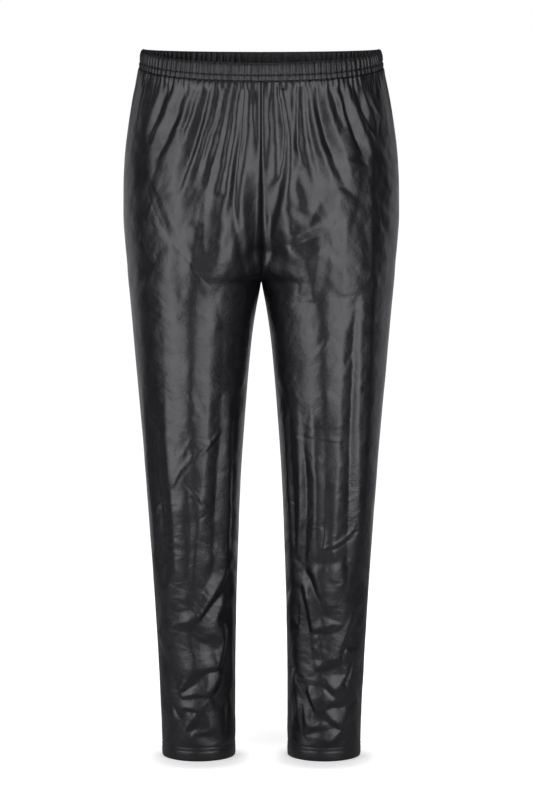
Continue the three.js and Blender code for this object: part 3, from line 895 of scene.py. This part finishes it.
@dataclass(frozen=True)
class CoatedJersey:
    """Knit jersey with a pressed polyurethane skin.

    A thin skin cast on paper and pressed to knit cloth: near black, evenly glossy under a soft sheen, and never flat.
    """

    name: str = "Polyurethane coated jersey"
    dark: str = "#08080a"
    light: str = "#111113"
    # Slow clouds of tone and gloss, about 26 mm across.
    cloud_scale: float = 38.0
    roughness_low: float = 0.32
    roughness_high: float = 0.41
    coat: float = 0.2
    coat_roughness: float = 0.28
    # The pressed grain is about 0.4 mm wide, too fine to show, so it is drawn at 1.1 mm.
    grain_mm: float = 1.1
    grain_height_mm: float = 0.05
    # The skin crinkles every 9 mm or so, and the knit under it drags into short ribs.
    crinkle_mm: float = 9.0
    crinkle_height_mm: float = 0.6
    rib_mm: float = 2.4
    rib_length_mm: float = 6.0
    rib_height_mm: float = 0.32

    def build(self) -> bpy.types.Material:
        """Make the material: a soft-gloss black skin with a fine pressed grain over slight crinkles.

        Returns:
            The material.
        """
        material = new_material(self.name)
        tree = material.node_tree
        place = add_node(tree, "ShaderNodeTexCoord").outputs["Object"]
        cloud = add_node(
            tree, "ShaderNodeTexNoise", {"Scale": self.cloud_scale, "Detail": 3.0}, {"Vector": place})
        colour = add_node(
            tree, "ShaderNodeMix",
            {"data_type": "RGBA", 6: linear_colour(self.dark), 7: linear_colour(self.light)},
            {0: cloud.outputs["Fac"]})
        gloss = add_node(
            tree, "ShaderNodeMapRange",
            {"From Min": 0.3, "From Max": 0.7, "To Min": self.roughness_low, "To Max": self.roughness_high},
            {"Value": cloud.outputs["Fac"]})
        crinkle = add_node(
            tree, "ShaderNodeTexNoise", {"Scale": 1 / (self.crinkle_mm * MM), "Detail": 4.0, "Roughness": 0.55},
            {"Vector": place})
        lengthened = add_node(
            tree, "ShaderNodeMapping", {"Scale": (1 / self.rib_length_mm, 1 / self.rib_length_mm, 1 / self.rib_mm)},
            {"Vector": place})
        rib = add_node(
            tree, "ShaderNodeTexNoise", {"Scale": 1 / MM, "Detail": 2.0, "Roughness": 0.6},
            {"Vector": lengthened.outputs["Vector"]})
        grain = add_node(
            tree, "ShaderNodeTexVoronoi", {"Scale": 1 / (self.grain_mm * MM), "Randomness": 1.0}, {"Vector": place})
        surface = {}
        for height_mm, height in ((self.crinkle_height_mm, crinkle.outputs["Fac"]),
                                  (self.rib_height_mm, rib.outputs["Fac"]),
                                  (self.grain_height_mm, grain.outputs["Distance"])):
            bump = add_node(
                tree, "ShaderNodeBump", {"Strength": 1.0, "Distance": height_mm * MM}, {"Height": height, **surface})
            surface = {"Normal": bump.outputs["Normal"]}
        skin = add_node(
            tree, "ShaderNodeBsdfPrincipled",
            {"IOR": 1.5, "Coat Weight": self.coat, "Coat Roughness": self.coat_roughness},
            {"Base Color": colour.outputs[2], "Roughness": gloss.outputs["Result"], **surface})
        add_node(tree, "ShaderNodeOutputMaterial", None, {"Surface": skin.outputs["BSDF"]})
        return material


@dataclass(frozen=True)
class SpunThread:
    """Spun polyester sewing thread: twisted staple fibre, duller than the coated cloth round it."""

    name: str = "Spun polyester thread"
    colour: str = "#18181a"
    roughness: float = 0.55
    ply_mm: float = 0.45
    ply_height_mm: float = 0.08

    def build(self) -> bpy.types.Material:
        """Make the material: dull black thread with the ribs of its twist.

        Returns:
            The material.
        """
        material = new_material(self.name)
        tree = material.node_tree
        place = add_node(tree, "ShaderNodeTexCoord").outputs["Object"]
        ply = add_node(
            tree, "ShaderNodeTexNoise", {"Scale": 1 / (self.ply_mm * MM), "Detail": 1.0}, {"Vector": place})
        bump = add_node(
            tree, "ShaderNodeBump", {"Strength": 1.0, "Distance": self.ply_height_mm * MM},
            {"Height": ply.outputs["Fac"]})
        thread = add_node(
            tree, "ShaderNodeBsdfPrincipled",
            {"Base Color": linear_colour(self.colour), "Roughness": self.roughness},
            {"Normal": bump.outputs["Normal"]})
        add_node(tree, "ShaderNodeOutputMaterial", None, {"Surface": thread.outputs["BSDF"]})
        return material


@dataclass(frozen=True)
class PaperWhite:
    """Matt white studio paper, with a soft painted shadow round each hem."""

    name: str = "White seamless paper"
    colour: str = "#f4f6f0"
    # What the paper throws back at the cloth, dimmer than what the camera sees of it.
    bounce: str = "#aaaaaa"
    roughness: float = 0.9
    # The glow rises from near to far, in metres from the middle.
    glow_near: float = 0.78
    glow_far: float = 1.0
    near: float = 0.25
    far: float = 0.75
    # A painted shadow is taken off the paper's glow round each hem: deepest up to the near distance from a hem's
    # middle, and gone at the far one.
    shade: float = 0.52
    painted_shadow_near: float = 0.030
    painted_shadow_far: float = 0.112
    hem_place: float = 0.0888
    hem_ahead: float = 0.022

    def build(self) -> bpy.types.Material:
        """Make the material: even white paper, lit a little from within so that it stays white, with a painted shadow
        round each hem.

        Returns:
            The material.
        """
        material = new_material(self.name)
        tree = material.node_tree
        place = add_node(tree, "ShaderNodeTexCoord").outputs["Object"]
        axes = add_node(tree, "ShaderNodeSeparateXYZ", None, {"Vector": place})
        # Where the painted shadow sits: the distance from the middle of each hem, moved a little forward.
        side = add_node(tree, "ShaderNodeMath", {"operation": "ABSOLUTE"}, {0: axes.outputs["X"]})
        beside = add_node(
            tree, "ShaderNodeMath", {"operation": "SUBTRACT", 1: self.hem_place}, {0: side.outputs[0]})
        ahead = add_node(tree, "ShaderNodeMath", {"operation": "ADD", 1: self.hem_ahead}, {0: axes.outputs["Y"]})
        spot = add_node(tree, "ShaderNodeCombineXYZ", None, {"X": beside.outputs[0], "Y": ahead.outputs[0]})
        close = add_node(tree, "ShaderNodeVectorMath", {"operation": "LENGTH"}, {"Vector": spot.outputs[0]})
        away = add_node(tree, "ShaderNodeVectorMath", {"operation": "LENGTH"}, {"Vector": place})
        base = add_node(
            tree, "ShaderNodeMapRange",
            {"From Min": self.near, "From Max": self.far, "To Min": self.glow_near, "To Max": self.glow_far},
            {"Value": away.outputs["Value"]})
        # Painted shadow: the glow is lowered round each hem, most near its middle.
        shade = add_node(
            tree, "ShaderNodeMapRange",
            {"interpolation_type": "SMOOTHERSTEP", "From Min": self.painted_shadow_near, "From Max": self.painted_shadow_far,
             "To Min": self.shade, "To Max": 0.0},
            {"Value": close.outputs["Value"]})
        glow = add_node(
            tree, "ShaderNodeMath", {"operation": "SUBTRACT"},
            {0: base.outputs["Result"], 1: shade.outputs["Result"]})
        paper = add_node(
            tree, "ShaderNodeBsdfPrincipled",
            {"Base Color": linear_colour(self.colour), "Roughness": self.roughness, "Emission Color": WHITE},
            {"Emission Strength": glow.outputs[0]})
        dim = add_node(tree, "ShaderNodeBsdfDiffuse", {"Color": linear_colour(self.bounce)})
        ray = add_node(tree, "ShaderNodeLightPath")
        both = add_node(
            tree, "ShaderNodeMixShader", None,
            {0: ray.outputs["Is Camera Ray"], 1: dim.outputs["BSDF"], 2: paper.outputs["BSDF"]})
        add_node(tree, "ShaderNodeOutputMaterial", None, {"Surface": both.outputs["Shader"]})
        return material


@dataclass(frozen=True)
class Cut:
    """The flat size of a cut piece of cloth, in metres and square metres."""

    size: tuple[float, float]
    area: float


@dataclass(frozen=True)
class CrotchHollow:
    """The sunken cloth beside the centre seam, above where the legs part."""

    depth: float = 17.0
    top: float = 92.0
    rise: float = 125.0
    foot: float = 282.0
    fade: float = 34.0
    reach: float = 42.0
    joined: float = 4.0

    def sink(self, quarter: Quarter, turn: np.ndarray, drop: np.ndarray) -> np.ndarray:
        """How far the cloth sinks.

        Args:
            quarter: The quarter that the cloth is on.
            turn: Places round the quarter.
            drop: Distances down from the waist, in millimetres.

        Returns:
            Inward distances in millimetres.
        """
        away = np.abs(quarter.place(turn, drop)[0][..., 0])
        depth = self.depth * ease((drop - self.top) / self.rise) * (1 - ease((drop - self.foot) / self.fade))
        joined = quarter.outline.value("inner", drop) < self.joined
        return np.where(joined, depth * (1 - ease(away / self.reach)), 0.0)


@dataclass
class LegPanel:
    """A front or back leg panel, from the waist casing to its turned-up hem."""

    quarter: Quarter
    skin: bpy.types.Material
    columns: int = 100
    rows: int = 440
    wall: float = 1.3
    top: float = 24.2
    gathers: int = 29
    gather_height: float = 1.1
    gather_lengths: tuple[float, float] = (10.0, 48.0)
    # How many rolls, their height, and their shortest and longest reach.
    rolls: tuple[tuple[float, float, float, float], ...] = ((17.0, 0.25, 40.0, 150.0), (9.0, 0.2, 90.0, 200.0))
    seam_ditch: float = 1.0
    ditch_width: float = 2.4
    seam_flat: float = 8.0
    hem_raise: float = 0.5
    hem_step: float = 2.5
    hem_calm: float = 0.85
    hem_calm_above: float = 10.0
    hem_calm_over: float = 12.0
    furrow: tuple[float, float] = (0.9, 1.1)
    edge_round: tuple[float, float] = (0.5, 1.6)
    top_round: tuple[float, float] = (0.8, 1.5)
    hollow: CrotchHollow = CrotchHollow()

    def drops(self, share: np.ndarray) -> np.ndarray:
        """The drop of each row, with rows closer together on the lower leg."""
        return np.interp(share, [0, 0.20, 0.50, 1.0], [self.top, 250.0, 600.0, LENGTH])

    def height(self, turn: np.ndarray, drop: np.ndarray, across: np.ndarray) -> np.ndarray:
        """How far the cloth stands out from the plain surface.

        Args:
            turn: Places round the quarter.
            drop: Distances down from the waist, in millimetres.
            across: Distances round from the leg's middle line, in millimetres.

        Returns:
            Outward heights in millimetres.
        """
        quarter = self.quarter
        lift = np.zeros(turn.shape)
        for form in (*quarter.folds, *quarter.crumples):
            lift += form.lift(across, drop)
        lift += self.loose(turn, drop, across)
        lift += self.pleats(turn, drop)
        lift += self.gathered(turn, drop)
        gap = quarter.seam_distance(turn, drop)
        hem = LENGTH - HEM_HEIGHT
        calm = self.hem_calm * ease((drop - (hem - self.hem_calm_above)) / self.hem_calm_over)
        lift *= ease(gap / self.seam_flat) * (1 - calm)
        lift -= self.seam_ditch * (1 - ease(gap / self.ditch_width))
        lift += self.hem_raise * ease((drop - hem) / self.hem_step)
        for row in HEM_STITCHES:
            lift -= groove(drop, row, *self.furrow)
        lift -= self.hollow.sink(quarter, turn, drop)
        return lift - groove(drop, LENGTH, *self.edge_round) - groove(drop, self.top, *self.top_round)

    def loose(self, turn: np.ndarray, drop: np.ndarray, across: np.ndarray) -> np.ndarray:
        """Small waves and creases all over the cloth, fainter beside the seams.

        Args:
            turn: Places round the quarter.
            drop: Distances down from the waist, in millimetres.
            across: Distances round from the leg's middle line, in millimetres.

        Returns:
            Outward heights in millimetres.
        """
        seed = self.quarter.seed
        # Broad waves start below the casing's pull, and the middling ones are calmer from the crotch down.
        total = Ripple(seed, 60.0, 0.4).lift(across, drop) * ease((drop - 120) / 120)
        total += Ripple(seed + 1, 18.0, 0.12).lift(across, drop)
        below_waist = ease((drop - 60) / 100) * (1 - 0.5 * ease((drop - 280) / 80))
        total += Ripple(seed + 2, 34.0, 0.3).lift(across, drop) * below_waist
        total += Wrinkles(seed).lift(across, drop)
        upright = Wrinkles(
            seed + 3, count=110, top=50.0, bottom=300.0, half=120.0, height=0.4, lean=math.pi / 2, spread=0.2)
        total += upright.lift(across, drop)
        # A fifth of them is left at the side seam, and two fifths at the centre.
        return total * (0.2 + 0.8 * ease(turn / 0.36)) * (0.4 + 0.6 * ease((1 - turn) / 0.2))

    def pleats(self, turn: np.ndarray, drop: np.ndarray) -> np.ndarray:
        """Rolls of cloth that the elastic sets off below the casing, each dying out at its own length.

        Args:
            turn: Places round the quarter.
            drop: Distances down from the waist, in millimetres.

        Returns:
            Outward heights in millimetres.
        """
        random = np.random.default_rng(self.quarter.seed + 9)
        total = np.zeros(turn.shape)
        for count, height, shortest, longest in self.rolls:
            knots = np.arange(int(count) + 2)
            share = turn * count
            sway, drift, size, length = (
                np.interp(share, knots, random.uniform(low, high, len(knots)))
                for low, high in ((-0.22, 0.22), (-0.35, 0.35), (0.35, 1.0), (shortest, longest)))
            lean = drift * (drop - self.top) / 150
            fade = 1 - ease((drop - self.top) / length)
            total += height * size * fade * np.cos(2 * math.pi * (share + sway + lean))
        # Beside the centre seam the drawn folds take over from the rolls.
        middle = 1 - ease((1 - turn) * 4)
        return total * (1 - 0.9 * middle * ease((drop - 90) / 50))

    def gathered(self, turn: np.ndarray, drop: np.ndarray) -> np.ndarray:
        """Fine gathers that run down from the casing, each to its own length.

        Args:
            turn: Places round the quarter.
            drop: Distances down from the waist, in millimetres.

        Returns:
            Outward heights in millimetres.
        """
        random = np.random.default_rng(self.quarter.seed + 5)
        share = turn * self.gathers
        length = np.interp(
            share, np.arange(self.gathers + 1), random.uniform(*self.gather_lengths, self.gathers + 1))
        wave = np.cos(2 * math.pi * (share + 0.12 * np.sin(5 * share)))
        return self.gather_height * wave * (1 - ease((drop - self.top) / length))

    def surface(self, turn: np.ndarray, drop: np.ndarray) -> tuple[np.ndarray, np.ndarray]:
        """Find the cloth's outer side.

        Args:
            turn: Places round the quarter.
            drop: Distances down from the waist, in millimetres.

        Returns:
            Points and outward directions, in millimetres.
        """
        points, normal, across = self.quarter.place(turn, drop)
        normal = seam_sides(normal, turn, drop)
        return points + normal * self.height(turn, drop, across)[:, None], normal

    def build(self) -> bpy.types.Object:
        """Build the panel, dress it and give it its place in the garment.

        Returns:
            The panel's object.
        """
        quarter = self.quarter
        piece = new_grid(f"cloth_leg_{quarter.name}", self.columns, self.rows)
        spots = grid_places(piece)
        set_points(piece, self.surface(spots[:, 0], self.drops(spots[:, 1]))[0])
        thicken(piece, self.wall, quarter.side.value * quarter.face.value < 0)
        piece.data.materials.append(self.skin)
        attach(piece, "root")
        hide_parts(f"leg_{quarter.name}")
        LOG.info("%s: %d faces", piece.name, len(piece.data.polygons))
        return piece


@dataclass
class WaistCasing:
    """A quarter of the turned-down waist casing, gathered by the elastic inside it."""

    quarter: Quarter
    skin: bpy.types.Material
    columns: int = 290
    rows: int = 46
    wall: float = 0.9
    gathers: int = 29
    gather_height: float = 1.05
    seam_flat: float = 4.0
    seam_ditch: float = 0.9
    ditch_width: float = 2.2
    # Share of the way round the fold, drop, outward distance, and how strongly the gathers show.
    fold: tuple[tuple[float, float, float, float], ...] = (
        (0, 24, -0.6, 0.55), (0.10, 20.5, 0.1, 0.9), (0.18, 17.6, 0.1, 0.8), (0.22, 16.0, -1.1, 0.45),
        (0.27, 14.2, 0.2, 0.9), (0.40, 7.0, 0.55, 1.15), (0.455, 2.6, 0.1, 1.0), (0.48, 0.9, -0.7, 0.8),
        (0.5, 0.35, -1.6, 0.7), (0.52, 0.9, -2.5, 0.8), (0.545, 2.6, -3.1, 0.9), (0.60, 6.0, -3.3, 1.0),
        (0.80, 15.0, -3.4, 1.0), (1.0, 23.6, -3.2, 0.6))
    fold_top: float = -1.6

    def profile(self, share: np.ndarray) -> tuple[np.ndarray, np.ndarray, np.ndarray]:
        """Follow the folded cloth from the foot of its outer layer, over the top, to the inner foot.

        Args:
            share: How far along that way, from 0 to 1.

        Returns:
            Drops, outward distances from the plain surface, and how strongly the gathers show.
        """
        stops, *columns = np.array(self.fold).T
        drop, out, show = (np.interp(share, stops, column) for column in columns)
        return drop, out, show

    def sheet(self, turn: np.ndarray, share: np.ndarray) -> tuple[np.ndarray, np.ndarray]:
        """Find the folded cloth.

        Args:
            turn: Places round the quarter.
            share: Places along the fold, 0 at the outer foot and 1 at the inner one.

        Returns:
            Points and outward directions, in millimetres.
        """
        quarter = self.quarter
        drop, out, show = self.profile(share)
        points, normal, _ = quarter.place(turn, drop)
        normal[:, 2] = 0
        normal = seam_sides(normal, turn, drop)
        random = np.random.default_rng(quarter.seed + 20)
        knots = np.arange(self.gathers + 1)
        shift, size, lean = (
            np.interp(turn * self.gathers, knots, random.uniform(low, high, len(knots)))
            for low, high in ((-0.16, 0.16), (0.6, 1.25), (-0.2, 0.2)))
        wave = 2 * math.pi * (turn * self.gathers + shift + lean * (drop - CASING_HEIGHT / 2) / CASING_HEIGHT)
        gather = (0.75 * np.cos(wave) + 0.25 * np.cos(2 * wave)) * size * show * self.gather_height
        gap = quarter.seam_distance(turn, drop)
        ditch = self.seam_ditch * (1 - ease(gap / self.ditch_width)) * np.where(out > self.fold_top, 1, -0.3)
        lift = out + gather * ease(gap / self.seam_flat) - ditch
        return points + normal * lift[:, None], normal

    def surface(self, turn: np.ndarray, drop: np.ndarray) -> tuple[np.ndarray, np.ndarray]:
        """Find the outer layer of the folded cloth.

        Args:
            turn: Places round the quarter.
            drop: Distances down from the waist, in millimetres.

        Returns:
            Points and outward directions, in millimetres.
        """
        shares = np.linspace(0, 0.5, 200)
        return self.sheet(turn, np.interp(-drop, -self.profile(shares)[0], shares))

    def build(self) -> bpy.types.Object:
        """Build the casing, dress it and give it its place in the garment.

        Returns:
            The casing's object.
        """
        quarter = self.quarter
        piece = new_grid(f"cloth_casing_{quarter.name}", self.columns, self.rows)
        spots = grid_places(piece)
        set_points(piece, self.sheet(spots[:, 0], spots[:, 1])[0])
        thicken(piece, self.wall, quarter.side.value * quarter.face.value > 0)
        piece.data.materials.append(self.skin)
        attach(piece, "root")
        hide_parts(f"casing_{quarter.name}")
        LOG.info("%s: %d faces", piece.name, len(piece.data.polygons))
        return piece


@dataclass
class StitchRow:
    """Rows of machine stitches along a hem or casing, on one quarter."""

    name: str
    thread: bpy.types.Material
    cloth: "LegPanel | WaistCasing"
    drops: tuple[float, ...]
    pitch: float = 3.0
    length: float = 2.3
    width: float = 0.62
    rise: float = 0.12
    end_gap: float = 2.2
    samples: int = 60

    def spots(self) -> tuple[np.ndarray, np.ndarray]:
        """Space the stitches evenly along each row.

        Returns:
            Each stitch's turn and drop.
        """
        turns, rows = [], []
        share = np.linspace(0, 1, self.samples)
        for drop in self.drops:
            line = self.cloth.surface(share, np.full(self.samples, drop))[0]
            ends = np.concatenate([[0.0], np.cumsum(np.linalg.norm(np.diff(line, axis=0), axis=1))])
            places = np.arange(self.end_gap, ends[-1] - self.end_gap, self.pitch)
            turns.append(np.interp(places, ends, share))
            rows.append(np.full(len(places), drop))
        return np.concatenate(turns), np.concatenate(rows)

    def frames(self, turn: np.ndarray, drop: np.ndarray) -> tuple[np.ndarray, np.ndarray]:
        """Find how each stitch lies on the cloth.

        Args:
            turn: Each stitch's place round the quarter.
            drop: Each stitch's distance down from the waist, in millimetres.

        Returns:
            The stitches' middles, and the directions ahead, beside and above each.
        """
        step = 0.004
        middle, normal = self.cloth.surface(turn, drop)
        ahead = self.cloth.surface(turn + step, drop)[0] - self.cloth.surface(turn - step, drop)[0]
        ahead /= np.linalg.norm(ahead, axis=1, keepdims=True)
        beside = np.cross(normal, ahead)
        beside /= np.linalg.norm(beside, axis=1, keepdims=True)
        above = np.cross(ahead, beside)
        return middle + above * self.rise, np.stack([ahead, beside, above], axis=1)

    def build(self) -> bpy.types.Object:
        """Model one stitch, copy it along the rows and lay each copy on the cloth.

        Returns:
            The rows' object.
        """
        bpy.ops.object.select_all(action="DESELECT")
        bpy.ops.mesh.primitive_uv_sphere_add(segments=6, ring_count=5, radius=0.5, location=(0, 0, 0))
        piece = bpy.context.object
        piece.name = self.name
        piece.data.name = self.name
        one = np.empty(len(piece.data.vertices) * 3)
        piece.data.vertices.foreach_get("co", one)
        one = one.reshape(-1, 3)[:, (2, 0, 1)] * (self.length, self.width, self.width)
        turn, drop = self.spots()
        middle, frames = self.frames(turn, drop)
        bpy.ops.object.mode_set(mode="EDIT")
        copies = 1
        while copies < len(turn):
            bpy.ops.mesh.select_all(action="SELECT")
            bpy.ops.mesh.duplicate()
            copies *= 2
        bpy.ops.object.mode_set(mode="OBJECT")
        places = (one[None] @ frames) + middle[:, None]
        places = np.concatenate([places, np.repeat(places[-1:], copies - len(turn), axis=0)])
        set_points(piece, places.reshape(-1, 3))
        self.drop_spare(piece, len(turn) * len(one))
        bpy.ops.object.shade_smooth()
        piece.data.materials.append(self.thread)
        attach(piece, "root")
        LOG.info("%s: %d stitches", piece.name, len(turn))
        return piece

    def drop_spare(self, piece: bpy.types.Object, used: int) -> None:
        """Delete the copies that no place on the rows needed.

        Args:
            piece: The rows' object.
            used: How many of its points are in use.
        """
        bpy.ops.object.mode_set(mode="EDIT")
        bpy.ops.mesh.select_all(action="DESELECT")
        bpy.ops.object.mode_set(mode="OBJECT")
        for point in piece.data.vertices[used:]:
            point.select = True
        bpy.ops.object.mode_set(mode="EDIT")
        bpy.ops.mesh.delete(type="VERT")
        bpy.ops.object.mode_set(mode="OBJECT")


@dataclass
class Studio:
    """White paper, a pair of large graded soft boxes with a gap between them, dim lights behind, and the camera."""

    paper: PaperWhite = PaperWhite()
    floor_drop: float = 1.0006
    floor_size: float = 60.0
    lens: float = 144.67
    sensor: float = 36.0
    sight: float = 200.0
    camera_place: tuple[float, float, float] = (0.0073, -4.5, 0.0)
    camera_pitch: float = 6.224
    surround: float = 0.055
    daylight: tuple[float, float, float] = (0.955, 0.942, 1.0)
    # Each layer's share of the full width, and its radiance.
    box_layers: tuple[tuple[float, float], ...] = ((1.0, 1.62), (0.66, 0.88), (0.36, 0.7))
    box_distance: float = 1.0
    box_step: float = 0.02
    box_height: float = 1.36
    box_aim: float = -0.32

    def floor(self) -> None:
        """Lay the paper under the hems."""
        bpy.ops.object.select_all(action="DESELECT")
        bpy.ops.mesh.primitive_plane_add(size=self.floor_size, location=(0, 0, -self.floor_drop))
        floor = bpy.context.object
        floor.name = "paper_floor"
        floor.data.materials.append(self.paper.build())

    def soft_box(self, name: str, azimuth: float, elevation: float, distance: float,
                 size: tuple[float, float], radiance: float, aim: float = -0.45) -> None:
        """Hang one rectangular light, turned to the garment.

        Args:
            name: The light's name.
            azimuth: Degrees round from the front, towards the wearer's left.
            elevation: Degrees above the point aimed at.
            distance: Distance from that point, in metres.
            size: Width and height, in metres.
            radiance: Brightness of its face.
            aim: Height of the point aimed at, in metres.
        """
        lamp = bpy.data.lights.new(name, "AREA")
        lamp.shape = "RECTANGLE"
        lamp.size, lamp.size_y = size
        lamp.energy = radiance * math.pi * size[0] * size[1]
        lamp.color = self.daylight
        box = bpy.data.objects.new(name, lamp)
        bpy.context.collection.objects.link(box)
        a, e = math.radians(azimuth), math.radians(elevation)
        box.location = (
            distance * math.cos(e) * math.sin(a), -distance * math.cos(e) * math.cos(a),
            aim + distance * math.sin(e))
        box.rotation_euler = (math.pi / 2 - e, 0, a)
        box.visible_camera = False

    def graded_box(self, name: str, azimuth: float, width: float, lean: float) -> None:
        """Hang a soft box that is brighter towards its middle.

        Args:
            name: The light's name.
            azimuth: Degrees round from the front, towards the wearer's left.
            width: Its full width, in metres.
            lean: Degrees by which each inner layer sits further round.
        """
        for layer, (share, radiance) in enumerate(self.box_layers):
            self.soft_box(
                f"{name}_{layer}", azimuth + lean * layer, 0, self.box_distance - self.box_step * layer,
                (width * share, self.box_height), radiance, aim=self.box_aim)

    def lights(self) -> None:
        """Hang the lights."""
        self.graded_box("soft_box_right", -48, 0.86, 1.5)
        self.graded_box("soft_box_left", 31, 0.93, 2.0)
        for side, azimuth in (("right", -128), ("left", 128)):
            self.soft_box(f"rim_{side}", azimuth, 3, 2.4, (0.80, 2.6), 0.68)
        for side, azimuth in (("right", -152), ("left", 156)):
            self.soft_box(f"back_{side}", azimuth, 0, 1.5, (0.75, 0.92), 0.55, aim=-0.53)
        self.soft_box("overhead", 0, 88, 2.4, (2.0, 2.0), 1.2, aim=0.0)

    def surroundings(self) -> None:
        """Set a dim room that shows white where the camera looks straight at it."""
        world = bpy.data.worlds.new("White room")
        world.use_nodes = True
        tree = world.node_tree
        tree.nodes.clear()
        ray = add_node(tree, "ShaderNodeLightPath")
        room = add_node(tree, "ShaderNodeBackground", {"Color": WHITE, "Strength": self.surround})
        seen = add_node(tree, "ShaderNodeBackground", {"Color": WHITE, "Strength": 1.0})
        both = add_node(
            tree, "ShaderNodeMixShader", None,
            {0: ray.outputs["Is Camera Ray"], 1: room.outputs[0], 2: seen.outputs[0]})
        add_node(tree, "ShaderNodeOutputWorld", None, {"Surface": both.outputs[0]})
        bpy.context.scene.world = world

    def camera(self) -> None:
        """Set the camera level with the waist, looking a little down."""
        lens = bpy.data.cameras.new("camera")
        lens.lens = self.lens
        lens.sensor_width = self.sensor
        lens.clip_end = self.sight
        eye = bpy.data.objects.new("camera", lens)
        bpy.context.collection.objects.link(eye)
        eye.location = self.camera_place
        eye.rotation_euler = (math.radians(90 - self.camera_pitch), 0, 0)
        bpy.context.scene.camera = eye

    def build(self) -> None:
        """Set the whole studio up."""
        self.camera()
        self.floor()
        self.lights()
        self.surroundings()
        bpy.context.scene.view_settings.view_transform = "Standard"


def main() -> None:
    """Build the garment piece by piece, then the studio."""
    logging.basicConfig(level=logging.INFO, format="%(message)s")
    Studio().build()
    jersey = CoatedJersey().build()
    gathered = CoatedJersey(
        name="Polyurethane coated jersey, gathered", roughness_low=0.40, roughness_high=0.48, coat=0.1,
        crinkle_mm=4.0, crinkle_height_mm=0.7).build()
    thread = SpunThread().build()
    quarters = (
        Quarter(Face.FRONT, Side.LEFT, LEG_LEFT,
                (waist(WAIST_LEFT), shin(SHIN_LEFT), ankle(ANKLE_LEFT, ANKLE_SEED_LEFT)), 11),
        Quarter(Face.FRONT, Side.RIGHT, LEG_RIGHT,
                (waist(WAIST_RIGHT), shin(SHIN_RIGHT), ankle(ANKLE_RIGHT, ANKLE_SEED_RIGHT)), 23),
        Quarter(Face.BACK, Side.LEFT, BACK_SEAT,
                (waist(WAIST_RIGHT), shin(SHIN_RIGHT, True), ankle(ANKLE_RIGHT, ANKLE_SEED_RIGHT, True, 6.0)), 37),
        Quarter(Face.BACK, Side.RIGHT, mirrored(BACK_SEAT, 5),
                (waist(WAIST_LEFT), shin(SHIN_LEFT, True), ankle(ANKLE_LEFT, ANKLE_SEED_LEFT, True, -8.0)), 41),
    )
    for quarter in quarters:
        panel, casing = LegPanel(quarter, jersey), WaistCasing(quarter, gathered)
        panel.build()
        casing.build()
        StitchRow(f"hem_thread_{quarter.name}", thread, panel, HEM_STITCHES).build()
        StitchRow(f"casing_thread_{quarter.name}", thread, casing, CASING_STITCHES).build()


if __name__ == "__main__":
    main()
